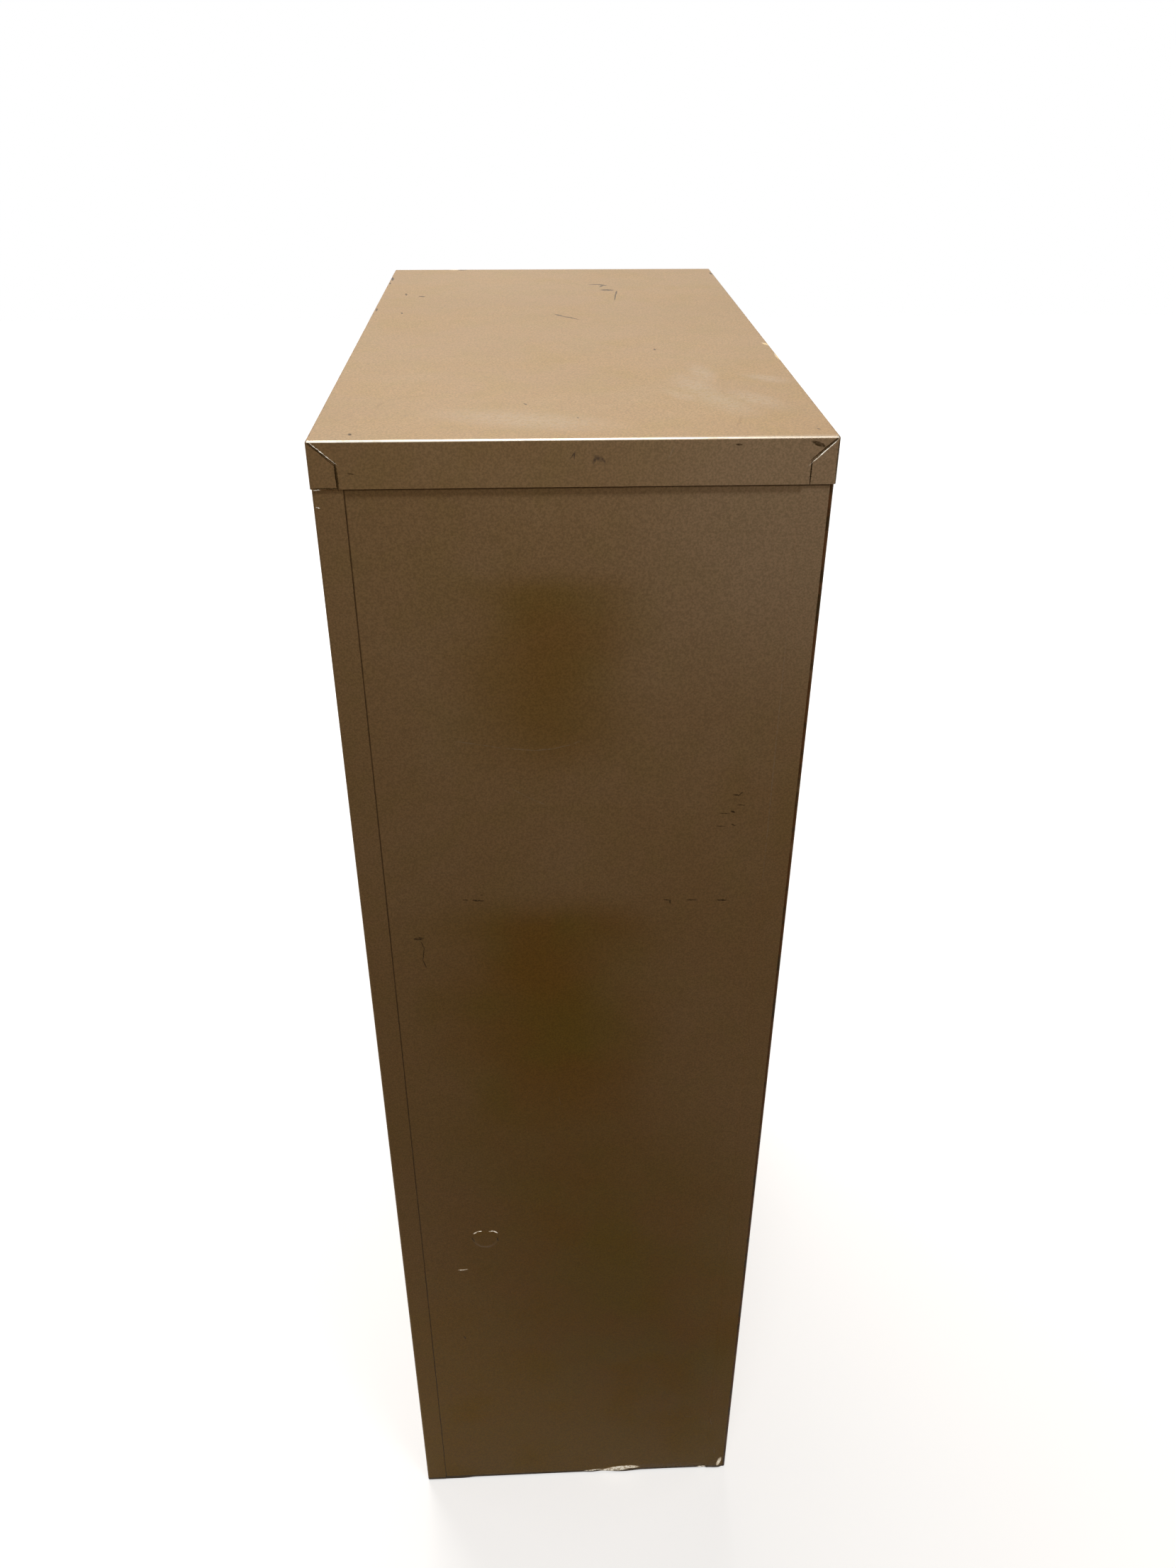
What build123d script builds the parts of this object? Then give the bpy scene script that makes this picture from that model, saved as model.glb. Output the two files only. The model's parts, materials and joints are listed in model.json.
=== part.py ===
from build123d import *
import os

# A four-drawer upright steel filing cabinet for letter-size hanging files.
# Millimetres. +Z is up, the drawers open towards -Y, the plain back faces +Y, and +X is
# the cabinet's right side seen from its front. The origin lies on the floor, under the
# middle of the overall box, pulls included. Drawer 1 is the top one.

# ---------------------------------------------------------------- driving dimensions

case_width = 381.0              # over the top cover
case_depth = 724.0              # over the top cover, without the pulls
case_height = 1327.0            # floor to the top of the cover
drawer_count = 4

case_sheet = 0.9                # steel of the case panels
drawer_sheet = 0.8              # steel of the drawers
rail_sheet = 1.5                # steel of the slide rails
fold_radius = 2.0               # outside of a fold in the case panels
drawer_fold_radius = 1.8        # outside of a fold in the drawers

# top cover
cover_flange = 35.0             # depth of its turned-down edges
tab_width = 19.5                # corner tab that wraps on to the front and rear edges
tab_slant_drop = 18.0           # the tab's seam falls this far before it runs straight down
seam_width = 0.5

# side panels and back panel
stile_width = 16.0              # front return of a side panel
stile_flange = 12.0             # its second return, beside the drawers
rear_return = 22.5              # return over the back panel, and under its lapped edge
lap_inset = 3.3                 # lapped edge of the back panel, inside the left panel's face
joggle_run = 1.5                # length of the back panel's step
joggle_gap = 1.0
lap_corner_radius = 5.0
panel_side_gap = 2.0            # back panel's hidden edge inside the right panel
panel_top_gap = 2.0             # back panel under the cover's sheet

# base
floor_gap = 3.0                 # case above the floor
base_height = 60.0              # floor to the first drawer opening
pan_height = 22.0               # bottom pan above the case's lower edge
pan_flange = 16.0
rail_lip = 12.0                 # lower return of the front rails
rail_shelf = 24.0               # upper return of the base rail
gusset_size = 58.0
gusset_sheet = 2.5
nut_radius = 8.0
nut_height = 8.0
glide_radius = 15.0
glide_foot = 4.0
glide_edge_radius = 1.3
glide_stem_radius = 4.0
glide_stem_length = 19.0
thread_clearance = 0.05
gusset_corner = 7.0             # chamfer of its corners

# uprights and divider rails
upright_depth = 4.1
upright_width = 50.0
upright_sheet = 1.2
upright_setback = 16.0          # front uprights behind the cover's front face
rear_upright_inset = 12.0       # rear uprights before the back panel
divider_height = 24.0
divider_depth = 22.0

# drawer heads
head_gap = 4.0                  # between two heads, and above and below the end ones
head_side_gap = 0.7             # head beside the stile's flange
head_depth = 18.0
liner_flange = 9.0
liner_inset = 1.0               # liner's edge inside the head's flange

# drawer trays
tray_floor_lift = 16.0          # tray bottom above the zone's base
tray_side_height = 240.0
tray_length = 676.0
tray_hem = 5.0                  # rolled top edge that carries the hanging folders
back_height = 205.0
back_flange = 10.0
track_slot_width = 5.0
track_slot_front = 60.0         # slot's start behind the liner
track_slot_rear = 56.0          # slot's end before the tray's rear edge

# follower block
follower_width = 290.0
follower_height = 180.0
follower_sheet = 1.0
follower_flange = 12.0
follower_lift = 8.0             # plate's lower edge above the tray bottom
foot_width = 60.0
foot_length = 52.0
shoe_width = 16.0
shoe_sheet = 1.2
follower_clearance = 0.4
follower_rest = 6.0             # foot's rear edge before the slot's rear end

# suspension, one set on each side of each drawer
suspension_width = 24.6         # tray side to upright
rail_setback = 2.0              # rails behind the liner
rail_overrun = 6.0              # rails past the tray's rear edge
rail_height_in_zone = 70.0
roller_radius = 11.0
roller_width = 5.5
roller_chamfer = 0.45
roller_clearance = 0.3          # roller to rail flange
axle_radius = 3.0
axle_clearance = 0.06
rivet_head_radius = 5.0
rivet_head = 0.6
rivet_head_gap = 0.1
collar_radius = 6.0
collar_gap = 0.2
side_play = 0.3                 # rivet head to rail web
drawer_rail_flange = 9.0        # flange reach, its web included
case_rail_flange = 9.3
middle_plate_offset = 10.0      # middle rail's plate outside the tray side
middle_plate = 2.0
middle_rail_height = 40.0
middle_rail_flange = 7.0
roller_end_inset = 14.0         # first roller behind the rail's front end
roller_spacing = 327.0          # sets where the end tabs stop the drawer
end_tab = 1.5

# pull
pull_projection = 30.0
pull_half_length = 50.0         # to the middle of each foot
pull_bar_height = 14.0
pull_bar_thickness = 8.0
pull_bend = 14.0
pull_edge_radius = 3.0
pull_below_top = 115.0          # under the top of the drawer zone
foot_pad_width = 15.0
foot_pad_height = 22.0
foot_pad_thickness = 3.0
screw_radius = 2.0
screw_hole_depth = 10.0         # into the pull's feet
screw_length = 9.0              # inside the pull
screw_head_radius = 4.0
screw_head_height = 2.6
screw_hole_clearance = 0.25

# label holder
label_width = 80.0
label_height = 44.0
label_thickness = 2.4
label_window_width = 68.0
label_window_height = 32.0
label_card_room = 0.8
label_border = 3.0              # card behind the frame on each side
label_corner_radius = 3.0
label_bevel = 0.8               # chamfer round the front of its frame
label_below_top = 62.0
label_rivet_radius = 1.5
label_rivet_head = 2.6
label_rivet_clearance = 0.05

# thumb latch
latch_setback = 9.0             # latch bar behind the head's face
latch_thickness = 2.0
latch_height = 14.0
latch_travel = 8.0
latch_engagement = 7.5          # bolt past the head's flange
latch_clearance = 0.3
thumb_left = 72.0               # thumb pad's near edge from the cabinet's middle
thumb_width = 20.0
thumb_height = 18.0
thumb_projection = 9.0
thumb_thickness = 3.0
neck_width = 8.0
neck_height = 10.0
nib_length = 8.0
nib_height = 3.0
strike_thickness = 1.5
strike_margin = 12.0            # strike plate above and below its slot

# latch return spring
spring_length = 28.0
spring_radius = 3.0             # to the wire's middle
spring_wire = 0.8
spring_turns = 7
spring_end_play = 0.15
lug_thickness = 1.2

over = 1.0                      # how far a cut runs past the piece

# ---------------------------------------------------------------- places that follow

x_cover = case_width / 2
x_side = x_cover - case_sheet
x_side_in = x_side - case_sheet
x_opening = x_side - stile_width
x_upright = x_side_in - upright_depth
x_tray = x_upright - suspension_width
x_head = x_opening - head_side_gap

y_front = (pull_projection - case_depth) / 2
y_back = y_front + case_depth
y_case_front = y_front + case_sheet
y_case_back = y_back - case_sheet
y_panel = y_case_back - case_sheet
y_panel_in = y_panel - case_sheet
y_liner = y_front + head_depth
y_tray_end = y_liner + tray_length
y_slot = y_liner + track_slot_front
y_slot_end = y_tray_end - track_slot_rear
y_rail = y_liner + rail_setback
y_rail_end = y_tray_end + rail_overrun
rail_length = y_rail_end - y_rail
y_latch = y_front + latch_setback

z_under_cover = case_height - case_sheet
z_flange = case_height - cover_flange
z_pan = floor_gap + pan_height
drawer_pitch = (z_flange - base_height) / drawer_count

# heights inside one drawer's zone, from the zone's base
z_head = head_gap / 2
z_head_top = drawer_pitch - head_gap / 2
z_tray = tray_floor_lift
z_pull = drawer_pitch - pull_below_top
z_label = drawer_pitch - label_below_top

x_bolt = x_head + latch_engagement
x_latch_end = thumb_left
x_lug = x_latch_end - spring_length


# ---------------------------------------------------------------- helpers

def block(x, y, z):
    """A box between the low and high end of each pair."""
    spans = (x, y, z)
    centre = [(low + high) / 2 for low, high in spans]
    return Pos(*centre) * Box(*[high - low for low, high in spans])


def rod_x(x, y, z, radius):
    """A round bar along X between the ends of the pair x."""
    middle = (x[0] + x[1]) / 2
    return Pos(middle, y, z) * Rot(0, 90, 0) * Cylinder(radius, x[1] - x[0])


def rod_y(y, x, z, radius):
    """A round bar along Y between the ends of the pair y."""
    middle = (y[0] + y[1]) / 2
    return Pos(x, middle, z) * Rot(90, 0, 0) * Cylinder(radius, y[1] - y[0])


def folded(plane, points, thickness, radius, length):
    """A folded sheet: its outside follows points, its steel lies to their left."""
    outside = FilletPolyline(*points, radius=radius)
    section = make_face(offset(outside, amount=thickness, side=Side.LEFT, kind=Kind.INTERSECTION))
    return extrude(plane * section, length)


def level(z):
    """Plane for a section that is extruded up from height z."""
    return Plane.XY.offset(z)


def mirrored(solid):
    """The same piece on the cabinet's other side."""
    return mirror(solid, about=Plane.YZ)


def both_sides(solid):
    """A right-hand piece and its left-hand twin."""
    return [solid, mirrored(solid)]


def pan(x, y, z, thickness, radius, opening):
    """A sheet pan: a rounded box hollowed from its open side, "down" or "back"."""
    shell = block(x, y, z)
    inside = {axis: [span[0] + thickness, span[1] - thickness] for axis, span in zip("xyz", (x, y, z))}
    if opening == "back":
        face = shell.faces().sort_by(Axis.Y)[0]
        corners = shell.edges().filter_by(Axis.Y)
        inside["y"][1] = y[1] + over
    else:
        face = shell.faces().sort_by(Axis.Z)[-1]
        corners = shell.edges().filter_by(Axis.Z)
        inside["z"][0] = z[0] - over
    shell = fillet(face.edges() + corners, radius)
    return shell - block(inside["x"], inside["y"], inside["z"])


def zone_base(number):
    """Height of the base of drawer number's zone, drawer 1 on top."""
    return base_height + drawer_pitch * (drawer_count - number)


def placed(solids, number):
    """Pieces of one drawer, lifted to drawer number's zone."""
    return [Pos(0, 0, zone_base(number)) * solid for solid in solids]


def node(name, solids):
    """Write one node's solids to its STEP file."""
    export_step(Compound(children=list(solids)), f"parts/{name}.step")


# ---------------------------------------------------------------- case

def corner_seam():
    """Slit between a corner tab and the rear edge, at the right rear corner."""
    x_tab = x_cover - tab_width
    start = (x_cover - fold_radius, case_height - fold_radius)
    turn = (x_tab, case_height - tab_slant_drop)
    end = (x_tab, z_flange - seam_width)
    slit = trace(Polyline(start, turn, end), line_width=seam_width)
    return extrude(Plane.XZ.offset(-y_back - case_sheet) * slit, 3 * case_sheet)


def top_cover():
    """Cover pan with its edges turned down and its side edges tabbed round the corners."""
    x = (-x_cover, x_cover)
    cover = pan(x, (y_front, y_back), (z_flange, case_height), case_sheet, fold_radius, "down")
    rear = corner_seam()
    front = Pos(0, y_front - y_back, 0) * rear
    for seam in both_sides(rear) + both_sides(front):
        cover -= seam
    return cover


def side_section(y_return):
    """Outline of the right side panel's outside, stile to rear return."""
    return [
        (x_opening, y_case_front + stile_flange),
        (x_opening, y_case_front),
        (x_side, y_case_front),
        (x_side, y_return),
        (x_side - rear_return, y_return),
    ]


def side_panel(y_return):
    """Right side panel, folded in one piece, from the floor gap to the cover."""
    height = z_under_cover - floor_gap
    return folded(level(floor_gap), side_section(y_return), case_sheet, fold_radius, height)


def strike_slot(number, clearance):
    """Room for a latch bolt through the right stile's flange."""
    z = zone_base(number) + z_pull
    return block(
        (x_opening - case_sheet, x_opening + 2 * case_sheet + strike_thickness),
        (y_latch - clearance, y_latch + latch_thickness + clearance),
        (z - latch_height / 2 - clearance, z + latch_height / 2 + clearance),
    )


def right_side_panel():
    """Its rear return lies over the back panel, and its stile has the latch slots."""
    panel = side_panel(y_case_back)
    for number in range(1, drawer_count + 1):
        panel -= strike_slot(number, 2 * latch_clearance)
    return panel


def left_side_panel():
    """Its rear return lies one sheet deeper, under the back panel's lapped edge."""
    return mirrored(side_panel(y_panel))


def back_panel():
    """Sheet under the right panel's return, stepped out over the left panel's return."""
    x_lap = -x_side + lap_inset
    x_step = -x_side + rear_return + joggle_gap
    x_right = x_side_in - panel_side_gap
    section = Polyline(
        (x_lap, y_case_back),
        (x_step + case_sheet / 2, y_case_back),
        (x_step + case_sheet / 2 + joggle_run, y_panel),
        (x_right, y_panel),
        (x_right, y_panel_in),
        (x_step + joggle_run, y_panel_in),
        (x_step, y_panel),
        (x_lap, y_panel),
        close=True,
    )
    height = z_under_cover - panel_top_gap - floor_gap
    sheet = extrude(level(floor_gap) * make_face(section), height)
    lapped_corners = sheet.edges().filter_by(Axis.Y).group_by(Axis.X)[0]
    return fillet(lapped_corners, lap_corner_radius)


def front_rail(z_low, z_high, lower, upper):
    """Channel between the stiles, open towards the back, with returns of the given depths."""
    outline = [
        (y_case_front + lower, z_low),
        (y_case_front, z_low),
        (y_case_front, z_high),
        (y_case_front + upper, z_high),
    ]
    plane = Plane.YZ.offset(-x_opening)
    section = [(y, z) for y, z in reversed(outline)]
    return folded(plane, section, case_sheet, fold_radius, 2 * x_opening)


def divider_rail(number):
    """Channel between the front uprights, under drawer number, behind the heads."""
    z = zone_base(number)
    y = y_liner + rail_setback
    outline = [
        (y + divider_depth, z + divider_height / 2),
        (y, z + divider_height / 2),
        (y, z - divider_height / 2),
        (y + divider_depth, z - divider_height / 2),
    ]
    return folded(Plane.YZ.offset(-x_upright), outline, case_sheet, fold_radius, 2 * x_upright)


def upright(y_low):
    """Hat strip up the inside of the right panel, which carries the case rails."""
    outline = [
        (x_side_in, y_low + upright_width),
        (x_upright, y_low + upright_width),
        (x_upright, y_low),
        (x_side_in, y_low),
    ]
    return folded(level(z_pan), outline, upright_sheet, fold_radius, z_under_cover - z_pan)


def bottom_pan():
    """Floor of the case, its edges turned down between the side panels."""
    y_low = y_case_front + rail_shelf
    z_low = z_pan - pan_flange
    x = (-x_side_in, x_side_in)
    return pan(x, (y_low, y_panel_in), (z_low, z_pan), case_sheet, fold_radius, "down")


def glide_places():
    """Middle of each glide, left and right, front and rear."""
    reach = gusset_size / 2 + case_sheet
    x = x_side_in - reach
    y_low = y_case_front + rail_shelf + reach
    y_high = y_panel_in - reach
    return [(side * x, y) for side in (-1, 1) for y in (y_low, y_high)]


def corner_gusset(x, y):
    """Plate under the pan's corner with the glide's nut."""
    half = gusset_size / 2
    z_top = z_pan - case_sheet
    z_plate = z_top - gusset_sheet
    plate = block((x - half, x + half), (y - half, y + half), (z_plate, z_top))
    plate = chamfer(plate.edges().filter_by(Axis.Z), gusset_corner)
    nut = Pos(x, y, z_plate - nut_height / 2) * Cylinder(nut_radius, nut_height)
    bore = Pos(x, y, z_plate - nut_height / 2) * Cylinder(
        glide_stem_radius + thread_clearance, 2 * nut_height
    )
    return plate + nut - bore


def glide(x, y):
    """Levelling foot on the floor, its stem in the gusset's nut."""
    foot = Pos(x, y, glide_foot / 2) * Cylinder(glide_radius, glide_foot)
    foot = fillet(foot.edges().sort_by(Axis.Z)[-1], glide_edge_radius)
    stem = Pos(x, y, glide_foot + glide_stem_length / 2) * Cylinder(glide_stem_radius, glide_stem_length)
    return foot + stem


def strike(number):
    """Slotted plate behind the right stile's flange, which holds the latch bolt."""
    z = zone_base(number) + z_pull
    half = latch_height / 2 + strike_margin
    x = x_opening + case_sheet
    plate = block(
        (x, x + strike_thickness),
        (y_case_front + fold_radius, y_case_front + stile_flange),
        (z - half, z + half),
    )
    return plate - strike_slot(number, latch_clearance)


# ---------------------------------------------------------------- suspension

def rail_channel(x_web, x_edge, tab_at):
    """Roller channel from its web's outside to its flanges' edges, with one end tab."""
    half = roller_radius + roller_clearance + rail_sheet
    z = rail_height_in_zone
    low, high = min(x_web, x_edge), max(x_web, x_edge)
    inside = (low - over, high - rail_sheet) if x_web > x_edge else (low + rail_sheet, high + over)
    channel = block((low, high), (y_rail, y_rail_end), (z - half, z + half))
    room = roller_radius + roller_clearance
    if tab_at == "front":
        cavity = (y_rail + end_tab, y_rail_end + over)
    else:
        cavity = (y_rail - over, y_rail_end - end_tab)
    return channel - block(inside, cavity, (z - room, z + room))


def case_rail():
    """Fixed rail on the uprights, open towards the drawer."""
    return rail_channel(x_upright, x_upright - case_rail_flange, "front")


def drawer_rail():
    """Rail on the tray's side, open towards the case."""
    return rail_channel(x_tray, x_tray + drawer_rail_flange, "rear")


def roller_places():
    """Distance of each roller from the rail's front: inner pair, then outer pair."""
    front = [roller_end_inset, roller_end_inset + roller_spacing]
    rear = [rail_length - roller_end_inset - roller_spacing, rail_length - roller_end_inset]
    return front, rear


x_plate = x_tray + middle_plate_offset
x_inner_roller = x_tray + rail_sheet + side_play + rivet_head + rivet_head_gap
x_outer_roller = x_upright - rail_sheet - side_play - rivet_head - rivet_head_gap


def inner_axle(y):
    """Rivet through the middle rail's plate for a roller on the tray's side."""
    z = rail_height_in_zone
    x_head_end = x_inner_roller - rivet_head_gap
    axle = rod_x((x_head_end, x_plate), y, z, axle_radius)
    head = rod_x((x_head_end - rivet_head, x_head_end), y, z, rivet_head_radius)
    collar = rod_x((x_inner_roller + roller_width + collar_gap, x_plate), y, z, collar_radius)
    return axle + head + collar


def outer_axle(y):
    """Rivet through the middle rail's plate for a roller on the case's side."""
    z = rail_height_in_zone
    x_back = x_plate + middle_plate
    x_head_end = x_outer_roller + rivet_head_gap
    axle = rod_x((x_back, x_head_end), y, z, axle_radius)
    head = rod_x((x_head_end, x_head_end + rivet_head), y, z, rivet_head_radius)
    collar = rod_x((x_back, x_outer_roller - roller_width - collar_gap), y, z, collar_radius)
    return axle + head + collar


def middle_rail():
    """Travelling rail with its roller rivets, flanged over the drawer's rail."""
    half = middle_rail_height / 2
    z = rail_height_in_zone
    x_outside = x_plate + middle_plate
    x_edge = x_plate - middle_rail_flange
    rail = block((x_edge, x_outside), (y_rail, y_rail_end), (z - half, z + half))
    rail -= block(
        (x_edge - over, x_plate),
        (y_rail - over, y_rail_end + over),
        (z - half + rail_sheet, z + half - rail_sheet),
    )
    inner, outer = roller_places()
    for distance in inner:
        rail += inner_axle(y_rail + distance)
    for distance in outer:
        rail += outer_axle(y_rail + distance)
    return rail


def roller(x_low, y):
    """Nylon roller on its rivet."""
    z = rail_height_in_zone
    wheel = rod_x((x_low, x_low + roller_width), y, z, roller_radius)
    wheel = chamfer(wheel.edges(), roller_chamfer)
    bore = (x_low - over, x_low + roller_width + over)
    return wheel - rod_x(bore, y, z, axle_radius + axle_clearance)


def rollers():
    """The right-hand middle rail's four rollers."""
    inner, outer = roller_places()
    return [roller(x_inner_roller, y_rail + d) for d in inner] + [
        roller(x_outer_roller - roller_width, y_rail + d) for d in outer
    ]


# ---------------------------------------------------------------- drawer

def screw_places():
    """X of the pull's two feet."""
    return (-pull_half_length, pull_half_length)


def label_rivet_places():
    """X of the label holder's two rivets."""
    reach = (label_width + label_window_width) / 4
    return (-reach, reach)


def head():
    """Drawer front, a pan open towards the tray, with its holes and the latch's slots."""
    x, z = (-x_head, x_head), (z_head, z_head_top)
    front = pan(x, (y_front, y_liner), z, drawer_sheet, drawer_fold_radius, "back")
    through = (y_front - over, y_front + drawer_sheet + over)
    for x in screw_places():
        front -= rod_y(through, x, z_pull, screw_radius + screw_hole_clearance)
    for x in label_rivet_places():
        front -= rod_y(through, x, z_label, label_rivet_radius + label_rivet_clearance)
    neck_x = thumb_left + (thumb_width - neck_width) / 2
    half_neck = neck_height / 2 + latch_clearance
    front -= block(
        (neck_x - latch_travel - latch_clearance, neck_x + neck_width + latch_clearance),
        through,
        (z_pull - half_neck, z_pull + half_neck),
    )
    half_bar = latch_height / 2 + latch_clearance
    front -= block(
        (x_head - 2 * drawer_sheet, x_head + over),
        (y_latch - latch_clearance, y_latch + latch_thickness + latch_clearance),
        (z_pull - half_bar, z_pull + half_bar),
    )
    return front


def liner():
    """Inner sheet that closes the head, with the lug that holds the latch spring."""
    edge = drawer_sheet + liner_inset
    x = x_head - edge
    sheet = block((-x, x), (y_liner - drawer_sheet, y_liner), (z_head + edge, z_head_top - edge))
    for z in (z_head + edge, z_head_top - edge - drawer_sheet):
        sheet += block((-x, x), (y_liner - liner_flange, y_liner), (z, z + drawer_sheet))
    for tab_z in (z_head + drawer_sheet, z_head_top - edge):
        sheet += block((-x / 2, x / 2), (y_liner - drawer_sheet, y_liner), (tab_z, tab_z + liner_inset))
    half_lug = spring_radius + 2 * spring_wire
    y_lug = y_latch + latch_thickness / 2 - half_lug
    lug = block((x_lug - lug_thickness, x_lug), (y_lug, y_liner), (z_pull - half_lug, z_pull + half_lug))
    return sheet + lug


def tray():
    """Bottom and sides of the drawer in one fold, the top edges rolled outwards."""
    z_top = z_tray + tray_side_height
    section = [
        (-x_tray - tray_hem, z_top - tray_hem),
        (-x_tray - tray_hem, z_top),
        (-x_tray + drawer_sheet, z_top),
        (-x_tray + drawer_sheet, z_tray + drawer_sheet),
        (x_tray - drawer_sheet, z_tray + drawer_sheet),
        (x_tray - drawer_sheet, z_top),
        (x_tray + tray_hem, z_top),
        (x_tray + tray_hem, z_top - tray_hem),
    ]
    inside = FilletPolyline(*section, radius=drawer_fold_radius)
    outline = offset(inside, amount=drawer_sheet, side=Side.RIGHT, kind=Kind.INTERSECTION)
    plane = Plane(origin=(0, y_tray_end, 0), x_dir=(1, 0, 0), z_dir=(0, -1, 0))
    trough = extrude(plane * make_face(outline), tray_length)
    return trough - block(
        (-track_slot_width / 2, track_slot_width / 2),
        (y_slot, y_slot_end),
        (z_tray - over, z_tray + 2 * drawer_sheet),
    )


def tray_back():
    """Rear wall between the tray's sides, its edges turned forward."""
    x = x_tray - drawer_sheet
    z_low = z_tray + drawer_sheet
    y = y_tray_end
    wall = block((-x, x), (y - back_flange, y), (z_low, z_low + back_height))
    lower_corners = wall.edges().filter_by(Axis.Y).group_by(Axis.Z)[0]
    wall = fillet(lower_corners, drawer_fold_radius)
    wall -= block(
        (-x + drawer_sheet, x - drawer_sheet),
        (y - back_flange - over, y - drawer_sheet),
        (z_low + drawer_sheet, z_low + back_height - drawer_sheet),
    )
    return wall


def pull_bow():
    """Cast bow pull with a screw hole in each foot."""
    y_bar = y_front - pull_projection + pull_bar_thickness / 2
    left, right = screw_places()
    path = FilletPolyline(
        (left, y_front, z_pull),
        (left, y_bar, z_pull),
        (right, y_bar, z_pull),
        (right, y_front, z_pull),
        radius=pull_bend,
    )
    section = Plane(origin=path @ 0, x_dir=(1, 0, 0), z_dir=path % 0) * RectangleRounded(
        pull_bar_thickness, pull_bar_height, pull_edge_radius
    )
    bow = sweep(section, path=path)
    for x in (left, right):
        pad = block(
            (x - foot_pad_width / 2, x + foot_pad_width / 2),
            (y_front - foot_pad_thickness, y_front),
            (z_pull - foot_pad_height / 2, z_pull + foot_pad_height / 2),
        )
        bow += fillet(pad.edges().filter_by(Axis.Y), pull_edge_radius)
    hole = (y_front - screw_hole_depth, y_front + over)
    for x in (left, right):
        bow -= rod_y(hole, x, z_pull, screw_radius + thread_clearance)
    return bow


def pull_screws():
    """The two screws that hold the pull, driven from inside the head."""
    y_seat = y_front + drawer_sheet
    screws = []
    for x in screw_places():
        shank = rod_y((y_front - screw_length, y_seat), x, z_pull, screw_radius)
        cap = rod_y((y_seat, y_seat + screw_head_height), x, z_pull, screw_head_radius)
        screws.append(shank + cap)
    return screws


def label_holder():
    """Card frame over the pull, with room behind its border for a card, and its rivets."""
    half_x, half_z = label_width / 2, label_height / 2
    y = (y_front - label_thickness, y_front)
    frame = block((-half_x, half_x), y, (z_label - half_z, z_label + half_z))
    frame = fillet(frame.edges().filter_by(Axis.Y), label_corner_radius)
    window_x, window_z = label_window_width / 2, label_window_height / 2
    frame = chamfer(frame.faces().sort_by(Axis.Y)[0].edges(), label_bevel)
    frame -= block(
        (-window_x, window_x), (y[0] - over, y[1] + over), (z_label - window_z, z_label + window_z)
    )
    room_x = window_x + label_border
    frame -= block(
        (-room_x, room_x),
        (y[1] - label_card_room, y[1] + over),
        (z_label - window_z, z_label + half_z + over),
    )
    for x in label_rivet_places():
        frame += rod_y((y[1] - label_card_room, y[1] + drawer_sheet), x, z_label, label_rivet_radius)
        frame += rod_y((y[1] + drawer_sheet, y[1] + 2 * drawer_sheet), x, z_label, label_rivet_head)
    return frame


def latch():
    """Latch bar with its bolt, its spring nib, and the thumb pad in front of the head."""
    half = latch_height / 2
    y = (y_latch, y_latch + latch_thickness)
    bar = block((x_latch_end, x_bolt), y, (z_pull - half, z_pull + half))
    half_nib = nib_height / 2
    nib = block((x_latch_end - nib_length, x_latch_end), y, (z_pull - half_nib, z_pull + half_nib))
    neck_x = thumb_left + (thumb_width - neck_width) / 2
    neck = block(
        (neck_x, neck_x + neck_width),
        (y_front - thumb_projection, y_latch),
        (z_pull - neck_height / 2, z_pull + neck_height / 2),
    )
    pad = block(
        (thumb_left, thumb_left + thumb_width),
        (y_front - thumb_projection, y_front - thumb_projection + thumb_thickness),
        (z_pull - thumb_height / 2, z_pull + thumb_height / 2),
    )
    pad = fillet(pad.edges().filter_by(Axis.Y), thumb_thickness)
    return bar + nib + neck + pad


def latch_spring():
    """Compression spring between the liner's lug and the latch bar, round its nib."""
    length = spring_length - 2 * spring_end_play - spring_wire
    x = x_lug + spring_end_play + spring_wire / 2
    y = y_latch + latch_thickness / 2
    coil = Helix(
        pitch=length / spring_turns, height=length, radius=spring_radius, center=(x, y, z_pull),
        direction=(1, 0, 0),
    )
    wire = Plane(origin=coil @ 0, z_dir=coil % 0) * Circle(spring_wire / 2)
    return sweep(wire, path=coil, is_frenet=True)


def follower():
    """Follower block: a flanged plate, its foot, and the shoe under the slotted bottom."""
    y_foot = y_slot_end - follower_rest
    y_plate = y_foot - foot_length
    z_floor = z_tray + drawer_sheet
    z_foot = z_floor + follower_clearance
    half = follower_width / 2
    z_low = z_floor + follower_lift
    z_high = z_low + follower_height
    plate = block((-half, half), (y_plate, y_plate + follower_flange), (z_low, z_high))
    plate -= block(
        (-half + follower_sheet, half - follower_sheet),
        (y_plate + follower_sheet, y_plate + follower_flange + over),
        (z_low + follower_sheet, z_high - follower_sheet),
    )
    across_foot = (-foot_width / 2, foot_width / 2)
    foot = block(across_foot, (y_plate, y_foot), (z_foot, z_foot + follower_sheet))
    post = block(across_foot, (y_plate, y_plate + follower_sheet), (z_foot, z_low + follower_lift))
    neck = track_slot_width / 2 - follower_clearance
    z_shoe = z_tray - follower_clearance
    stem = block((-neck, neck), (y_plate, y_foot), (z_shoe, z_foot))
    half_shoe = shoe_width / 2
    shoe = block((-half_shoe, half_shoe), (y_plate, y_foot), (z_shoe - shoe_sheet, z_shoe))
    return plate + foot + post + stem + shoe


# ---------------------------------------------------------------- nodes

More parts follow.
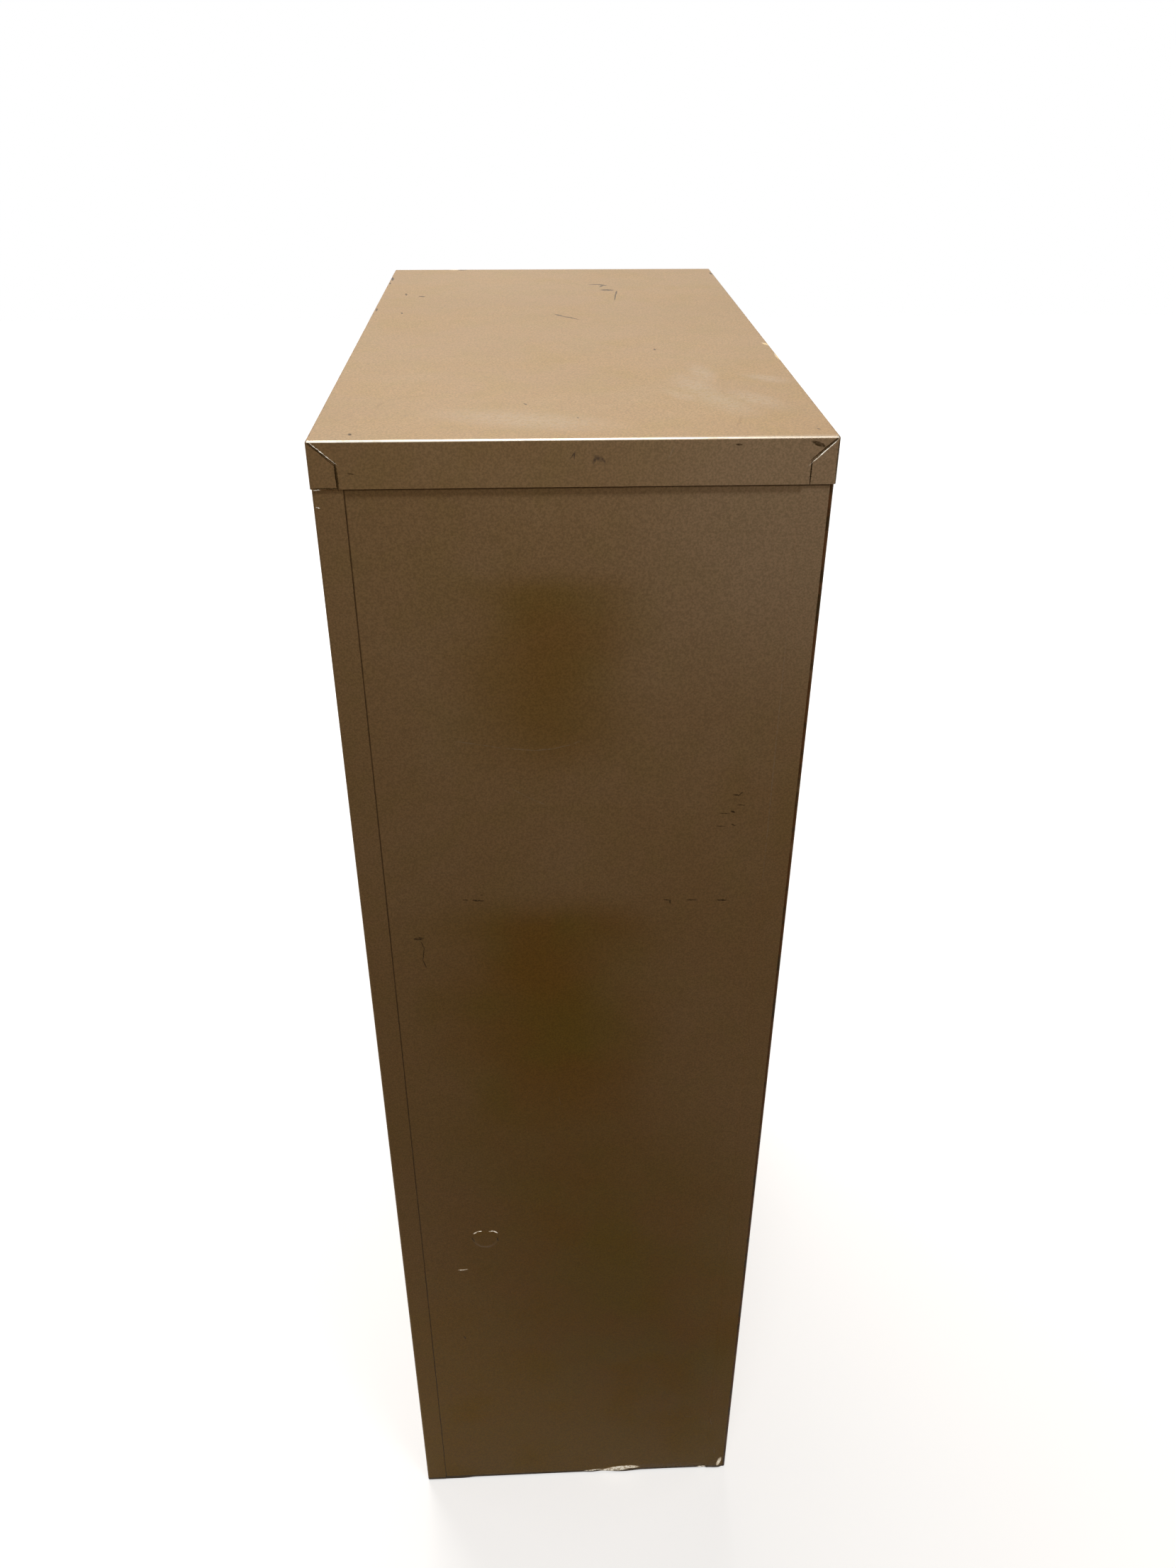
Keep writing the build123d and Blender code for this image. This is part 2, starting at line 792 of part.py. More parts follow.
def write_case():
    """Every piece of the case, one node each, alike pieces together."""
    numbers = range(1, drawer_count + 1)
    node("top_cover", [top_cover()])
    node("left_side_panel", [left_side_panel()])
    node("right_side_panel", [right_side_panel()])
    node("back_panel", [back_panel()])
    node("bottom_pan", [bottom_pan()])
    base_rail = front_rail(floor_gap, base_height, rail_lip, rail_shelf)
    top_rail = front_rail(z_flange, z_under_cover, rail_shelf, rail_lip)
    node("front_rails", [base_rail, top_rail])
    node("divider_rails", [divider_rail(number) for number in numbers if number < drawer_count])
    front_upright = upright(y_front + upright_setback)
    rear_upright = upright(y_panel_in - rear_upright_inset - upright_width)
    node("uprights", both_sides(front_upright) + both_sides(rear_upright))
    rails = both_sides(case_rail())
    node("case_rails", [rail for number in numbers for rail in placed(rails, number)])
    node("latch_strikes", [strike(number) for number in numbers])
    node("corner_gussets", [corner_gusset(x, y) for x, y in glide_places()])
    node("levelling_glides", [glide(x, y) for x, y in glide_places()])


def write_drawers():
    """Every piece of each drawer and of its suspension."""
    right_rollers = rollers()
    pieces = {
        "tray": [tray()],
        "back": [tray_back()],
        "head": [head()],
        "liner": [liner()],
        "pull": [pull_bow()] + pull_screws(),
        "label_holder": [label_holder()],
        "runners": both_sides(drawer_rail()),
        "latch": [latch()],
        "latch_spring": [latch_spring()],
        "follower": [follower()],
        "middle_rails": both_sides(middle_rail()),
        "rollers": right_rollers + [mirrored(wheel) for wheel in right_rollers],
    }
    for number in range(1, drawer_count + 1):
        for name, solids in pieces.items():
            node(f"drawer_{number}_{name}", placed(solids, number))


os.makedirs("parts", exist_ok=True)
write_case()
write_drawers()
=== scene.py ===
import json
import math

import bmesh
import bpy
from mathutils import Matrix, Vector, noise

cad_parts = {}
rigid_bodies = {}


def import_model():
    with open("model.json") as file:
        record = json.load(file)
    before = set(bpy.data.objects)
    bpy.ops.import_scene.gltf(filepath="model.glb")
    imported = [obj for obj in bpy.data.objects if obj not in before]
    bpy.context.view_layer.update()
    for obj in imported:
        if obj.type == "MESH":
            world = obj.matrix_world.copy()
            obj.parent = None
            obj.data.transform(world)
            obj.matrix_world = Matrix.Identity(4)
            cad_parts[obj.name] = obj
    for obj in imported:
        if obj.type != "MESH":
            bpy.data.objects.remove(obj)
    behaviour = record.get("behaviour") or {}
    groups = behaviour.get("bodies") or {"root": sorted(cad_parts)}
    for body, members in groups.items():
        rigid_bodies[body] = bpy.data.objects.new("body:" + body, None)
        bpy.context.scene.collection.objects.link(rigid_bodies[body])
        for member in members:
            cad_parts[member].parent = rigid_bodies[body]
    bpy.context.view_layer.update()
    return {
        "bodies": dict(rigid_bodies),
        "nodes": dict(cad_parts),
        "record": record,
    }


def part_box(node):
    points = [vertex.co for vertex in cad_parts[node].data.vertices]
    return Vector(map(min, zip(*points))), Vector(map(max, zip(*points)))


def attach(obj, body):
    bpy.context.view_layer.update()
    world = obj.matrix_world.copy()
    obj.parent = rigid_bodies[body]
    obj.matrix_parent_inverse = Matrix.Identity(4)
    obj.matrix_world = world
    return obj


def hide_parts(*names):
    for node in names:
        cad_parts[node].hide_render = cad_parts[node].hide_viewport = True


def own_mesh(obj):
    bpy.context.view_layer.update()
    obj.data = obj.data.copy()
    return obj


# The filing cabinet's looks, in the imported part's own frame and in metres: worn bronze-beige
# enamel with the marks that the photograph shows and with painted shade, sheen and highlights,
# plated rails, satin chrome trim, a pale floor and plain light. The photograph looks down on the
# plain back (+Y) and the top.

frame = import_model()

MM = 0.001

# ---------------------------------------------------------------- places read from the frame

cover_low, cover_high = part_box("top_cover")
panel_low, panel_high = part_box("back_panel")
half_width = cover_high.x
top = cover_high.z
rear = cover_high.y
front = cover_low.y
flange_edge = cover_low.z
drawer_count = sum(1 for name in frame["bodies"] if name.startswith("drawer_"))
PANELS = ("top_cover", "back_panel", "right_side_panel", "left_side_panel")
FOLD = 2.0 * MM                 # outside radius of the folds in the case panels

# ---------------------------------------------------------------- camera
# Fitted to the part's edges in the photograph.

CAMERA_X = 0.0313
CAMERA_BEHIND = 0.8616          # lens behind the cover's rear face
CAMERA_HEIGHT = 1.572
CAMERA_TURN = (58.3064, -0.2038, 177.3714)   # degrees about X, Y and Z
CAMERA_LENS = 27.966            # mm
CAMERA_SENSOR = 36.0            # mm, along the picture's long side

# ---------------------------------------------------------------- colours, linear

ENAMEL = (0.50, 0.325, 0.165)
ENAMEL_DEEP = (0.42, 0.255, 0.115)
ENAMEL_PALE = (0.56, 0.385, 0.215)
ENAMEL_OLIVE = (0.43, 0.30, 0.12)
ENAMEL_SPECULAR = (1.0, 0.66, 0.20)
SHADE_BROWN = (0.68, 0.55, 0.22)   # what the painted shade lets through of each colour
SHADE_OLIVE = (0.63, 0.61, 0.22)
FOOT_SHADE_TINT = (1.0, 0.96, 0.45)      # and what the painted warm shade towards the floor lets through
PAINTED_SHEEN = (0.66, 0.50, 0.35)          # painted sheen: a pale, greyer reflection high on the back
INNER = (0.34, 0.225, 0.115)
INNER_DEEP = (0.26, 0.165, 0.08)
# dark grime, also used as painted shade in the seams, in the gaps beside the lapped edges and under the
# cover's flange
GRIME_AND_SHADE = (0.035, 0.018, 0.007)
RUST = (0.13, 0.045, 0.012)
# steel of chips in the enamel, also used as painted highlights on the cover's rear fold, the seams' lips
# and the bumps on the back
BARE_STEEL_AND_HIGHLIGHT = (0.88, 0.84, 0.74)
# dust, also used as painted highlights along the back panel's step and on its dented lower edge
DUST_AND_HIGHLIGHT = (0.62, 0.50, 0.36)
SMUDGE = (0.060, 0.045, 0.050)
ZINC = (0.58, 0.57, 0.54)
ZINC_DULL = (0.38, 0.37, 0.35)
OIL = (0.075, 0.055, 0.035)
CHROME = (0.78, 0.76, 0.73)
CHROME_DULL = (0.55, 0.53, 0.49)
NYLON = (0.72, 0.68, 0.56)
NYLON_DIRTY = (0.28, 0.24, 0.17)
CARD = (0.74, 0.69, 0.56)
CARD_FADED = (0.66, 0.57, 0.40)

# ---------------------------------------------------------------- marks in the photograph
# Millimetres. On the back: from the cover's photo-left edge, and above the floor. On the top: from
# its photo-left edge, and from its rear edge. Each mark is a run of points with a half width.

COVER_STEP = 0.9                # cover past the side panels
STRIP_WIDTH = 22.5              # right panel's return, over the back panel's edge
STRIP_EDGE = STRIP_WIDTH + COVER_STEP
TAB_WIDTH = 19.5                # corner tabs of the top cover
TAB_DROP = 18.0                 # their seams fall this far before they turn straight down

BACK_DARK = [
    ([(361, 1323.2), (366, 1321.8), (369, 1320.1)], 1.1),
    ([(363, 1321.5), (367, 1320.1)], 0.8),
    ([(306.3, 1321.7), (309.3, 1321.5)], 0.7),
    ([(28.5, 1303.6), (32, 1303)], 0.4),
    ([(91.1, 921.1), (95.1, 920.5)], 0.5),
    ([(100.1, 920.3), (103.6, 919.3)], 0.8),
    ([(104.1, 919.7), (109.1, 919.3)], 0.7),
    ([(106.6, 925.8), (108.1, 925.4)], 0.4),
    ([(268.8, 915.9), (274.3, 914.9), (274.3, 911.8)], 0.6),
    ([(289.7, 914.9), (297.2, 914.7)], 0.6),
    ([(316.6, 913.9), (324, 913.5)], 0.8),
    ([(45.8, 878.5), (50.8, 877.9)], 1.1),
    ([(49.8, 879.9), (53.3, 879.1)], 0.6),
    ([(51.3, 874.5), (53.3, 867.6), (51.3, 853.6), (53.8, 845.2)], 0.45),
    ([(324.1, 1024.5), (328.5, 1023.9), (331, 1026.7)], 0.6),
    ([(323.6, 1007.8), (325.1, 1007.2)], 1.0),
    ([(313.1, 1006.2), (321.1, 1005.6)], 0.35),
    ([(324.1, 994.5), (327, 993.3)], 0.45),
    ([(311.1, 993.3), (319.1, 992.5)], 0.35),
    ([(328, 1014.2), (335, 1013.8)], 0.35),
    ([(61.3, 294.6), (61.9, 291.7)], 1.0),
    # painted shade at the sides of the bump at 92 mm across
    ([(78.1, 466.4), (80, 461.6)], 0.8),
    ([(104.9, 465.6), (105.5, 461.6)], 0.8),
]
BACK_SMUDGE = [
    ([(203.8, 1309.7), (205.4, 1313.7)], 1.0),
    ([(205.4, 1313.9), (208.7, 1311.7)], 1.5),
    ([(208.3, 1313.7), (211.7, 1310.1)], 0.9),
    ([(187.2, 1312.9), (190.2, 1316.9)], 0.5),
    ([(190.2, 1317.1), (189.8, 1312.1)], 0.5),
]
# chips down to the steel, and painted highlights on the bumps at 65 and 92 mm across
BACK_BRIGHT = [
    ([(80.4, 473.9), (83.6, 476.7), (88, 477.3)], 0.8),
    ([(97, 476.7), (100.9, 477.1), (104.9, 474.3)], 0.85),
    ([(61.6, 414.4), (69.6, 415)], 0.8),
    ([(3.1, 1278.7), (5.4, 1278.1)], 0.3),
    ([(1.6, 1291.4), (7, 1291.4)], 0.2),
    ([(201, 6), (219, 8)], 1.2),
    ([(222, 6), (252, 8)], 2.8),
    ([(232, 9), (252, 12), (266, 10)], 3.0),
    ([(345.5, 4.6), (354.4, 4.6)], 1.2),
    ([(370.5, 10), (373, 22)], 2.4),
]
# pale marks, and painted highlights along the back panel's step and on its dented lower edge
BACK_PALE = [
    ([(93.2, 1081.4), (110.1, 1078.4), (130, 1074.4)], 0.45),
    ([(130, 1074.4), (156.9, 1071.6), (171.8, 1072.8)], 0.6),
    ([(171.8, 1072.8), (186.7, 1076.4), (193.7, 1079.4)], 0.45),
    ([(138, 1034.6), (149.9, 1026.7), (164.8, 1018.7)], 0.4),
    ([(301.8, 122.7), (307.7, 120.9)], 0.5),
    ([(323.7, 117.3), (331.6, 115.8)], 0.6),
    ([(355.5, 111.4), (356.5, 105.4), (357.5, 98.5)], 0.5),
    ([(257.5, 1312.1), (261.5, 1321.1)], 0.45),
    ([(355.6, 1179.8), (355.5, 931.2)], 0.5),
    ([(355.5, 1070.5), (355.5, 1015)], 0.55),
    ([(173.3, 673.7), (174.7, 664.8)], 0.35),
    ([(244, 9), (344, 9)], 6.0),
    ([(363, 8), (373, 22)], 6.0),
    ([(364, 47), (365, 33)], 0.6),
]
PAINTED_SHADE_ZONES = [                      # painted shade: broad dark zones on the back
    ([(165, 1230), (165, 1060)], 62.0),
    ([(160, 930), (165, 640)], 88.0),
    ([(175, 560), (325, 190)], 150.0),
]
TOP_DARK = [
    ([(187.6, 445.1), (194.5, 435), (202.5, 428)], 1.5),
    ([(199.5, 430), (209.5, 419.9)], 0.8),
    ([(244.5, 582.3), (250.5, 581.5)], 4.0),
    ([(257.7, 574.2), (255.7, 555)], 0.9),
    ([(255.7, 559.1), (252.3, 522.7)], 0.7),
    ([(230.4, 615.7), (240.4, 616.7)], 1.6),
    ([(239.4, 616.7), (246.4, 611.7)], 2.4),
    ([(244, 610.6), (241, 601.5)], 1.2),
    ([(25.9, 564.4), (26.9, 556.3)], 1.2),
    ([(42.9, 548.2), (45.9, 546.2)], 2.0),
    ([(30.1, 458.4), (30.7, 453.3)], 1.0),
    ([(273.1, 283.6), (273.3, 280.1)], 1.0),
    ([(154.9, 96), (155.9, 93.6)], 1.0),
    ([(194.3, 55), (194.8, 53.6)], 0.7),
    ([(29.8, 16.7), (30.4, 14.3)], 1.3),
    ([(368.2, 19.6), (369.2, 18.6)], 0.8),
    ([(1.7, 668.6), (3.3, 650.4)], 1.6),
    ([(2.2, 634.2), (2.8, 626.1)], 1.1),
    ([(2.6, 480.6), (3.2, 468.5)], 1.0),
    ([(377.7, 693.5), (378.1, 682.3)], 1.3),
    ([(78, 719), (84, 719)], 2.0),
]
TOP_FAINT = [
    ([(40.8, 88.7), (46.7, 106.7), (60.6, 118.7), (75.5, 123.7)], 1.6),
    ([(318.7, 58.6), (308.7, 21.6)], 1.2),
]
TOP_BRIGHT = [
    ([(376.6, 306.1), (379.4, 297.1)], 1.9),
    ([(379.2, 262), (379.6, 240)], 1.2),
    ([(68, 721), (75, 721)], 2.2),
]
TOP_CLOUD = [
    ([(303.9, 206.8), (305.9, 172.7)], 9.0),
    ([(348.6, 178.7), (362.5, 166.6)], 9.0),
    ([(275, 126.6), (285, 108.6)], 8.0),
    ([(290, 166.7), (296.9, 126.6), (316.7, 80.6)], 15.0),
    ([(328.6, 116.6), (343.5, 92.6)], 13.0),
    ([(120, 60), (190, 40)], 20.0),
]
# painted shade in the slits of the cover's corner seams and along the edges of its rear flange
SEAM_SHADE = [
    ([(1.2, 1326.8), (TAB_WIDTH + 0.4, 1328.1 - TAB_DROP)], 0.6),
    ([(TAB_WIDTH + 0.2, 1328.8 - TAB_DROP), (TAB_WIDTH + 0.8, 1292.2)], 1.0),
    ([(2.6, 1292.7), (TAB_WIDTH + 1, 1292.6)], 0.55),
    ([(379.8, 1326.8), (380.6 - TAB_WIDTH, 1328.1 - TAB_DROP)], 0.6),
    ([(381 - TAB_WIDTH, 1327.6 - TAB_DROP), (381 - TAB_WIDTH, 1292.2)], 0.55),
    ([(380.2, 1325), (380.4, 1293)], 0.9),
]
# painted highlights on the lips below the seams' slits
SEAM_HIGHLIGHTS = [
    ([(2.8, 1326.3), (TAB_WIDTH + 0.6, 1328.7 - TAB_DROP)], 0.3),
    ([(378.8, 1324.4), (380.9 - TAB_WIDTH, 1325.6 - TAB_DROP)], 0.45),
]
MARK_RIM = (1.25, 0.6)          # shares of a mark's size: nothing at the first, whole at the second
MARK_KINDS = [                  # back marks, top marks, strength, least share, rim, colour
    ([], TOP_CLOUD, 0.44, 0.35, (1.7, 0.1), DUST_AND_HIGHLIGHT),
    (BACK_PALE, [], 0.40, 0.2, (1.4, 0.5), DUST_AND_HIGHLIGHT),
    ([], TOP_FAINT, 0.16, 0.3, (1.4, 0.4), RUST),
    (BACK_SMUDGE, [], 0.75, 0.6, (1.4, 0.5), SMUDGE),
    (BACK_DARK, TOP_DARK, 0.95, 0.75, (1.3, 0.7), GRIME_AND_SHADE),
    (SEAM_SHADE, [], 0.97, 1.0, (1.15, 0.75), GRIME_AND_SHADE),
]

# ---------------------------------------------------------------- places of the wear, and of the painted shade, sheen and highlights

BACK_FACES = rear - 4 * MM      # what lies further back is a rear face
TOP_FACES = top - 2 * MM        # and what lies higher is the top
IN_BACK = (1.0, 0.0, 1.0)       # a place times this has no depth
IN_TOP = (1.0, 1.0, 0.0)        # and times this no height
MARK_SHAKE = (1.1 * MM, 1.1 * MM, 1.1 * MM)   # how far noise moves the marks' edges in all
MARK_SHAKE_SCALE = 900.0        # and how fine that noise is
SHADE_SHAKE = (0.10, 0.0, 0.10)
SHADE_SHAKE_SCALE = 9.0
SHADE_RIM = (1.65, 0.10)        # shares of a painted shade zone's size, as in MARK_RIM
UPPER_SHADE_SHARE = 0.75        # of the lower painted shade zones' strength

# Where each begins to show, and where it shows in full. First heights, then places along X and Y.
# the painted shade zones, and the painted warm shade towards the floor
UPPER_SHADE_TOP = (1.234, 1.208)
UPPER_SHADE_FOOT = (1.02, 1.09)
LOWER_SHADE_TOP = (0.935, 0.885)
FOOT_SHADE = (0.55, 0.10)
# the back panel darker along its foot
FOOT_DARKER = (9 * MM, 4.2 * MM)
LOWEST_LINE = (8.0 * MM, 6.2 * MM)
# painted shadow under the cover's rear flange
COVER_SHADOW = (flange_edge - 1.6 * MM, flange_edge - 1.0 * MM)
TOP_EDGES = (top - 4.0 * MM, top - 1.5 * MM)
# painted sheen high on the back
PAINTED_SHEEN_UP = (1.00, 1.26)
PAINTED_SHEEN_ACROSS = (40 * MM, -170 * MM)
# painted highlight on the cover's rear fold, stronger towards +X
FOLD_HIGHLIGHT_FADE = (-half_width, 60 * MM)
# painted shade beside the right panel's return
STRIP_SHADE = (half_width - (STRIP_EDGE + 1.5) * MM, half_width - (STRIP_EDGE + 0.7) * MM)
SIDE_EDGES = (half_width - 3.0 * MM, half_width - 0.6 * MM)
HEAD_EDGES = (half_width - 20.5 * MM, half_width - 18 * MM)   # sides of the drawer heads
FRONT_EDGE = (front + 3.0 * MM, front + 0.6 * MM)
REAR_EDGES = (rear - 6 * MM, rear - 2 * MM)
FOLD_HIGHLIGHT_SPAN = (1.25 * FOLD, 1.33 * FOLD)   # how far round the cover's rear fold the painted highlight lies, in the climb of its mask below


def back_point(spot):
    """A measured spot on the back, in the part's frame, with no depth."""
    across, height = spot
    return (half_width - across * MM, 0.0, height * MM)


def top_point(spot):
    """A measured spot on the top, in the part's frame, with no height."""
    across, inwards = spot
    return (half_width - across * MM, rear - inwards * MM, 0.0)


# ---------------------------------------------------------------- shader helpers

class Graph:
    """A material's node tree, with short ways to add and join its nodes."""

    def __init__(self, name):
        self.material = bpy.data.materials.new(name)
        self.material.use_nodes = True
        self.tree = self.material.node_tree
        self.tree.nodes.clear()
        self.shader = self.add("ShaderNodeBsdfPrincipled")
        output = self.add("ShaderNodeOutputMaterial")
        self.tree.links.new(self.shader.outputs["BSDF"], output.inputs["Surface"])
        self.place = self.add("ShaderNodeTexCoord").outputs["Object"]

    def add(self, kind, **settings):
        made = self.tree.nodes.new(kind)
        for name, value in settings.items():
            setattr(made, name, value)
        return made

    def feed(self, socket, value):
        """Joins a socket to another, or sets it to a constant."""
        if isinstance(value, bpy.types.NodeSocket):
            self.tree.links.new(value, socket)
        elif socket.type == "RGBA" and len(value) == 3:
            socket.default_value = (*value, 1.0)
        else:
            socket.default_value = value

    def math(self, operation, *values, clamp=False):
        made = self.add("ShaderNodeMath", operation=operation, use_clamp=clamp)
        for socket, value in zip(made.inputs, values):
            self.feed(socket, value)
        return made.outputs[0]

    def vector(self, operation, *values):
        made = self.add("ShaderNodeVectorMath", operation=operation)
        for socket, value in zip(made.inputs, values):
            self.feed(socket, value)
        return made.outputs["Vector"]

    def scaled(self, colour, share):
        """A colour times a number or another colour."""
        return self.vector("MULTIPLY", colour, share)

    def mix(self, share, a, b):
        """Colour a, turning to b as share goes to 1."""
        made = self.add("ShaderNodeMix", data_type="RGBA")
        for socket, value in zip((made.inputs[0], made.inputs[6], made.inputs[7]), (share, a, b)):
            self.feed(socket, value)
        return made.outputs[2]

    def smooth(self, value, low, high):
        """0 below low and 1 above high, eased between. low may be the larger."""
        made = self.add("ShaderNodeMapRange", interpolation_type="SMOOTHSTEP")
        self.feed(made.inputs["Value"], value)
        span = (low, high, 0.0, 1.0) if low < high else (high, low, 1.0, 0.0)
        for socket, number in zip(list(made.inputs)[1:5], span):
            socket.default_value = number
        return made.outputs[0]

    def stretch(self, scale):
        """The place, scaled by three numbers, for a pattern drawn out along an axis."""
        return self.vector("MULTIPLY", self.place, scale)

    def noise(self, scale, detail=3.0, roughness=0.55, place=None):
        made = self.add("ShaderNodeTexNoise")
        self.feed(made.inputs["Vector"], place or self.place)
        made.inputs["Scale"].default_value = scale
        made.inputs["Detail"].default_value = detail
        made.inputs["Roughness"].default_value = roughness
        return made.outputs["Fac"]

    def split(self, vector=None):
        made = self.add("ShaderNodeSeparateXYZ")
        self.feed(made.inputs[0], vector or self.place)
        return made.outputs

    def bump(self, height, depth, strength=1.0, under=None):
        """A relief of depth metres."""
        made = self.add("ShaderNodeBump")
        made.inputs["Strength"].default_value = strength
        made.inputs["Distance"].default_value = depth
        self.feed(made.inputs["Height"], height)
        if under is not None:
            self.feed(made.inputs["Normal"], under)
        return made.outputs["Normal"]

    def largest(self, values):
        total = values[0]
        for value in values[1:]:
            total = self.math("MAXIMUM", total, value)
        return total

    def finish(self, colour, roughness, normal=None, **constants):
        self.feed(self.shader.inputs["Base Color"], colour)
        self.feed(self.shader.inputs["Roughness"], roughness)
        if normal is not None:
            self.feed(self.shader.inputs["Normal"], normal)
        for name, value in constants.items():
            self.feed(self.shader.inputs[name.replace("_", " ")], value)
        return self.material


def strokes(graph, place, marks, to_point, normal, rim):
    """One mask for a list of marks on a flat face, each a run of points with a half width.

    Every stretch between two points is a long ellipse, so a scratch tapers at its ends, and
    fades between the two shares of its size that rim gives."""
    nearest = None
    for points, half in marks:
        for start, end in zip(points, points[1:]):
            a, b = Vector(to_point(start)), Vector(to_point(end))
            run = b - a
            made = graph.add("ShaderNodeMapping", vector_type="TEXTURE")
            graph.feed(made.inputs["Vector"], place)
            made.inputs["Location"].default_value = (a + b) / 2
            reach = run.length * 0.55 + half * MM
            if normal == "Y":
                made.inputs["Rotation"].default_value = (0, -math.atan2(run.z, run.x), 0)
                made.inputs["Scale"].default_value = (reach, 1, half * MM)
            else:
                made.inputs["Rotation"].default_value = (0, 0, math.atan2(run.y, run.x))
                made.inputs["Scale"].default_value = (reach, half * MM, 1)
            distance = graph.add("ShaderNodeVectorMath", operation="LENGTH")
            graph.feed(distance.inputs[0], made.outputs["Vector"])
            found = distance.outputs["Value"]
            nearest = found if nearest is None else graph.math("MINIMUM", nearest, found)
    return graph.smooth(nearest, *rim)


def shaken(graph, scale, reach):
    """The place, moved by noise by up to half the reach each way, so that edges aren't smooth."""
    made = graph.add("ShaderNodeTexNoise")
    graph.feed(made.inputs["Vector"], graph.place)
    made.inputs["Scale"].default_value = scale
    made.inputs["Detail"].default_value = 2.0
    offset = graph.scaled(graph.vector("SUBTRACT", made.outputs["Color"], (0.5, 0.5, 0.5)), reach)
    return graph.vector("ADD", graph.place, offset)


# ---------------------------------------------------------------- materials

def enamel_base(graph, tones):
    """Mottled enamel colour, its fine grain, its roughness and its relief, as four sockets."""
    base, deep, pale = tones
    broad = graph.smooth(graph.noise(2.3, 2.0), 0.35, 0.68)
    cloudy = graph.smooth(graph.noise(14.0, 4.0), 0.42, 0.72)
    tinted = graph.smooth(graph.noise(24.0, 3.0, 0.6), 0.42, 0.66)
    grain = graph.noise(620.0, 3.0, 0.7)
    colour = graph.mix(graph.math("MULTIPLY", broad, 0.60), base, deep)
    colour = graph.mix(graph.math("MULTIPLY", cloudy, 0.35), colour, pale)
    colour = graph.mix(graph.math("MULTIPLY", tinted, 0.30), colour, ENAMEL_OLIVE)
    speckle = graph.math("MULTIPLY_ADD", graph.smooth(grain, 0.34, 0.66), 0.34, 0.83)
    roughness = graph.math("MULTIPLY_ADD", cloudy, 0.07, 0.40)
    roughness = graph.math("MULTIPLY_ADD", grain, 0.06, roughness)
    relief = graph.bump(graph.noise(420.0, 2.0), 0.00006, 0.5)
    return colour, speckle, roughness, relief


def on_node(marks, node, to_point, axis):
    """The marks on one node: each one's first point is in its box along X and the given axis."""
    low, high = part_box(node)
    kept = []
    for points, half in marks:
        spot = to_point(points[0])
        inside = all(low[i] <= spot[i] <= high[i] for i in (0, axis))
        if inside and (node != "back_panel" or points[0][0] > STRIP_WIDTH):
            kept.append((points, half))
    return kept


class PanelMarks:
    """The photographed marks of one panel, as masks on its rear face and its top face."""

    def __init__(self, graph, node):
        self.graph, self.node = graph, node
        across, depth, height = graph.split()
        self.on_back = graph.math("GREATER_THAN", depth, BACK_FACES)
        self.on_top = graph.math("GREATER_THAN", height, TOP_FACES)
        place = shaken(graph, MARK_SHAKE_SCALE, MARK_SHAKE)
        self.flat_back = graph.scaled(place, IN_BACK)
        self.flat_top = graph.scaled(place, IN_TOP)
        self.patchy = graph.smooth(graph.noise(320.0, 2.0), 0.30, 0.55)

    def mask(self, back, up, strength, least, rim=MARK_RIM):
        """Marks of one kind, broken up by noise down to the given least share, or None."""
        graph, parts = self.graph, []
        back = on_node(back, self.node, back_point, 2)
        up = on_node(up, self.node, top_point, 1) if self.node == "top_cover" else []
        if back:
            found = strokes(graph, self.flat_back, back, back_point, "Y", rim)
            parts.append(graph.math("MULTIPLY", found, self.on_back))
        if up:
            found = strokes(graph, self.flat_top, up, top_point, "Z", rim)
            parts.append(graph.math("MULTIPLY", found, self.on_top))
        if not parts:
            return None
        broken = graph.math("MAXIMUM", self.patchy, least)
        return graph.math("MULTIPLY", graph.math("MULTIPLY", graph.largest(parts), strength), broken)


def add_painted_shade(graph, colour, z, on_back):
    """Painted shade in broad dark zones, each below a soft level line, and painted warm shade towards the
    floor.
    """
    shade_tint = graph.mix(graph.smooth(graph.noise(11.0, 2.0), 0.34, 0.66), SHADE_BROWN, SHADE_OLIVE)
    place = graph.scaled(shaken(graph, SHADE_SHAKE_SCALE, SHADE_SHAKE), IN_BACK)
    found = strokes(graph, place, PAINTED_SHADE_ZONES, back_point, "Y", SHADE_RIM)
    upper = graph.math("MULTIPLY", graph.smooth(z, *UPPER_SHADE_TOP), graph.smooth(z, *UPPER_SHADE_FOOT))
    upper = graph.math("MULTIPLY", upper, UPPER_SHADE_SHARE)
    lower = graph.smooth(z, *LOWER_SHADE_TOP)
    share = graph.math("MULTIPLY", found, graph.math("MAXIMUM", upper, lower))
    colour = graph.mix(share, colour, graph.scaled(colour, shade_tint))
    foot = graph.math("MULTIPLY", graph.smooth(z, *FOOT_SHADE), on_back)
    return graph.mix(foot, colour, graph.scaled(colour, FOOT_SHADE_TINT))


def add_painted_sheen(graph, colour, x, z, on_back):
    """Painted sheen: a pale, greyer reflection high on the back, towards the photograph's right."""
    pale = graph.math("MULTIPLY", graph.smooth(x, *PAINTED_SHEEN_ACROSS), graph.smooth(z, *PAINTED_SHEEN_UP))
    pale = graph.math("MULTIPLY", pale, on_back)
    return graph.mix(graph.math("MULTIPLY", pale, 0.5), colour, PAINTED_SHEEN)


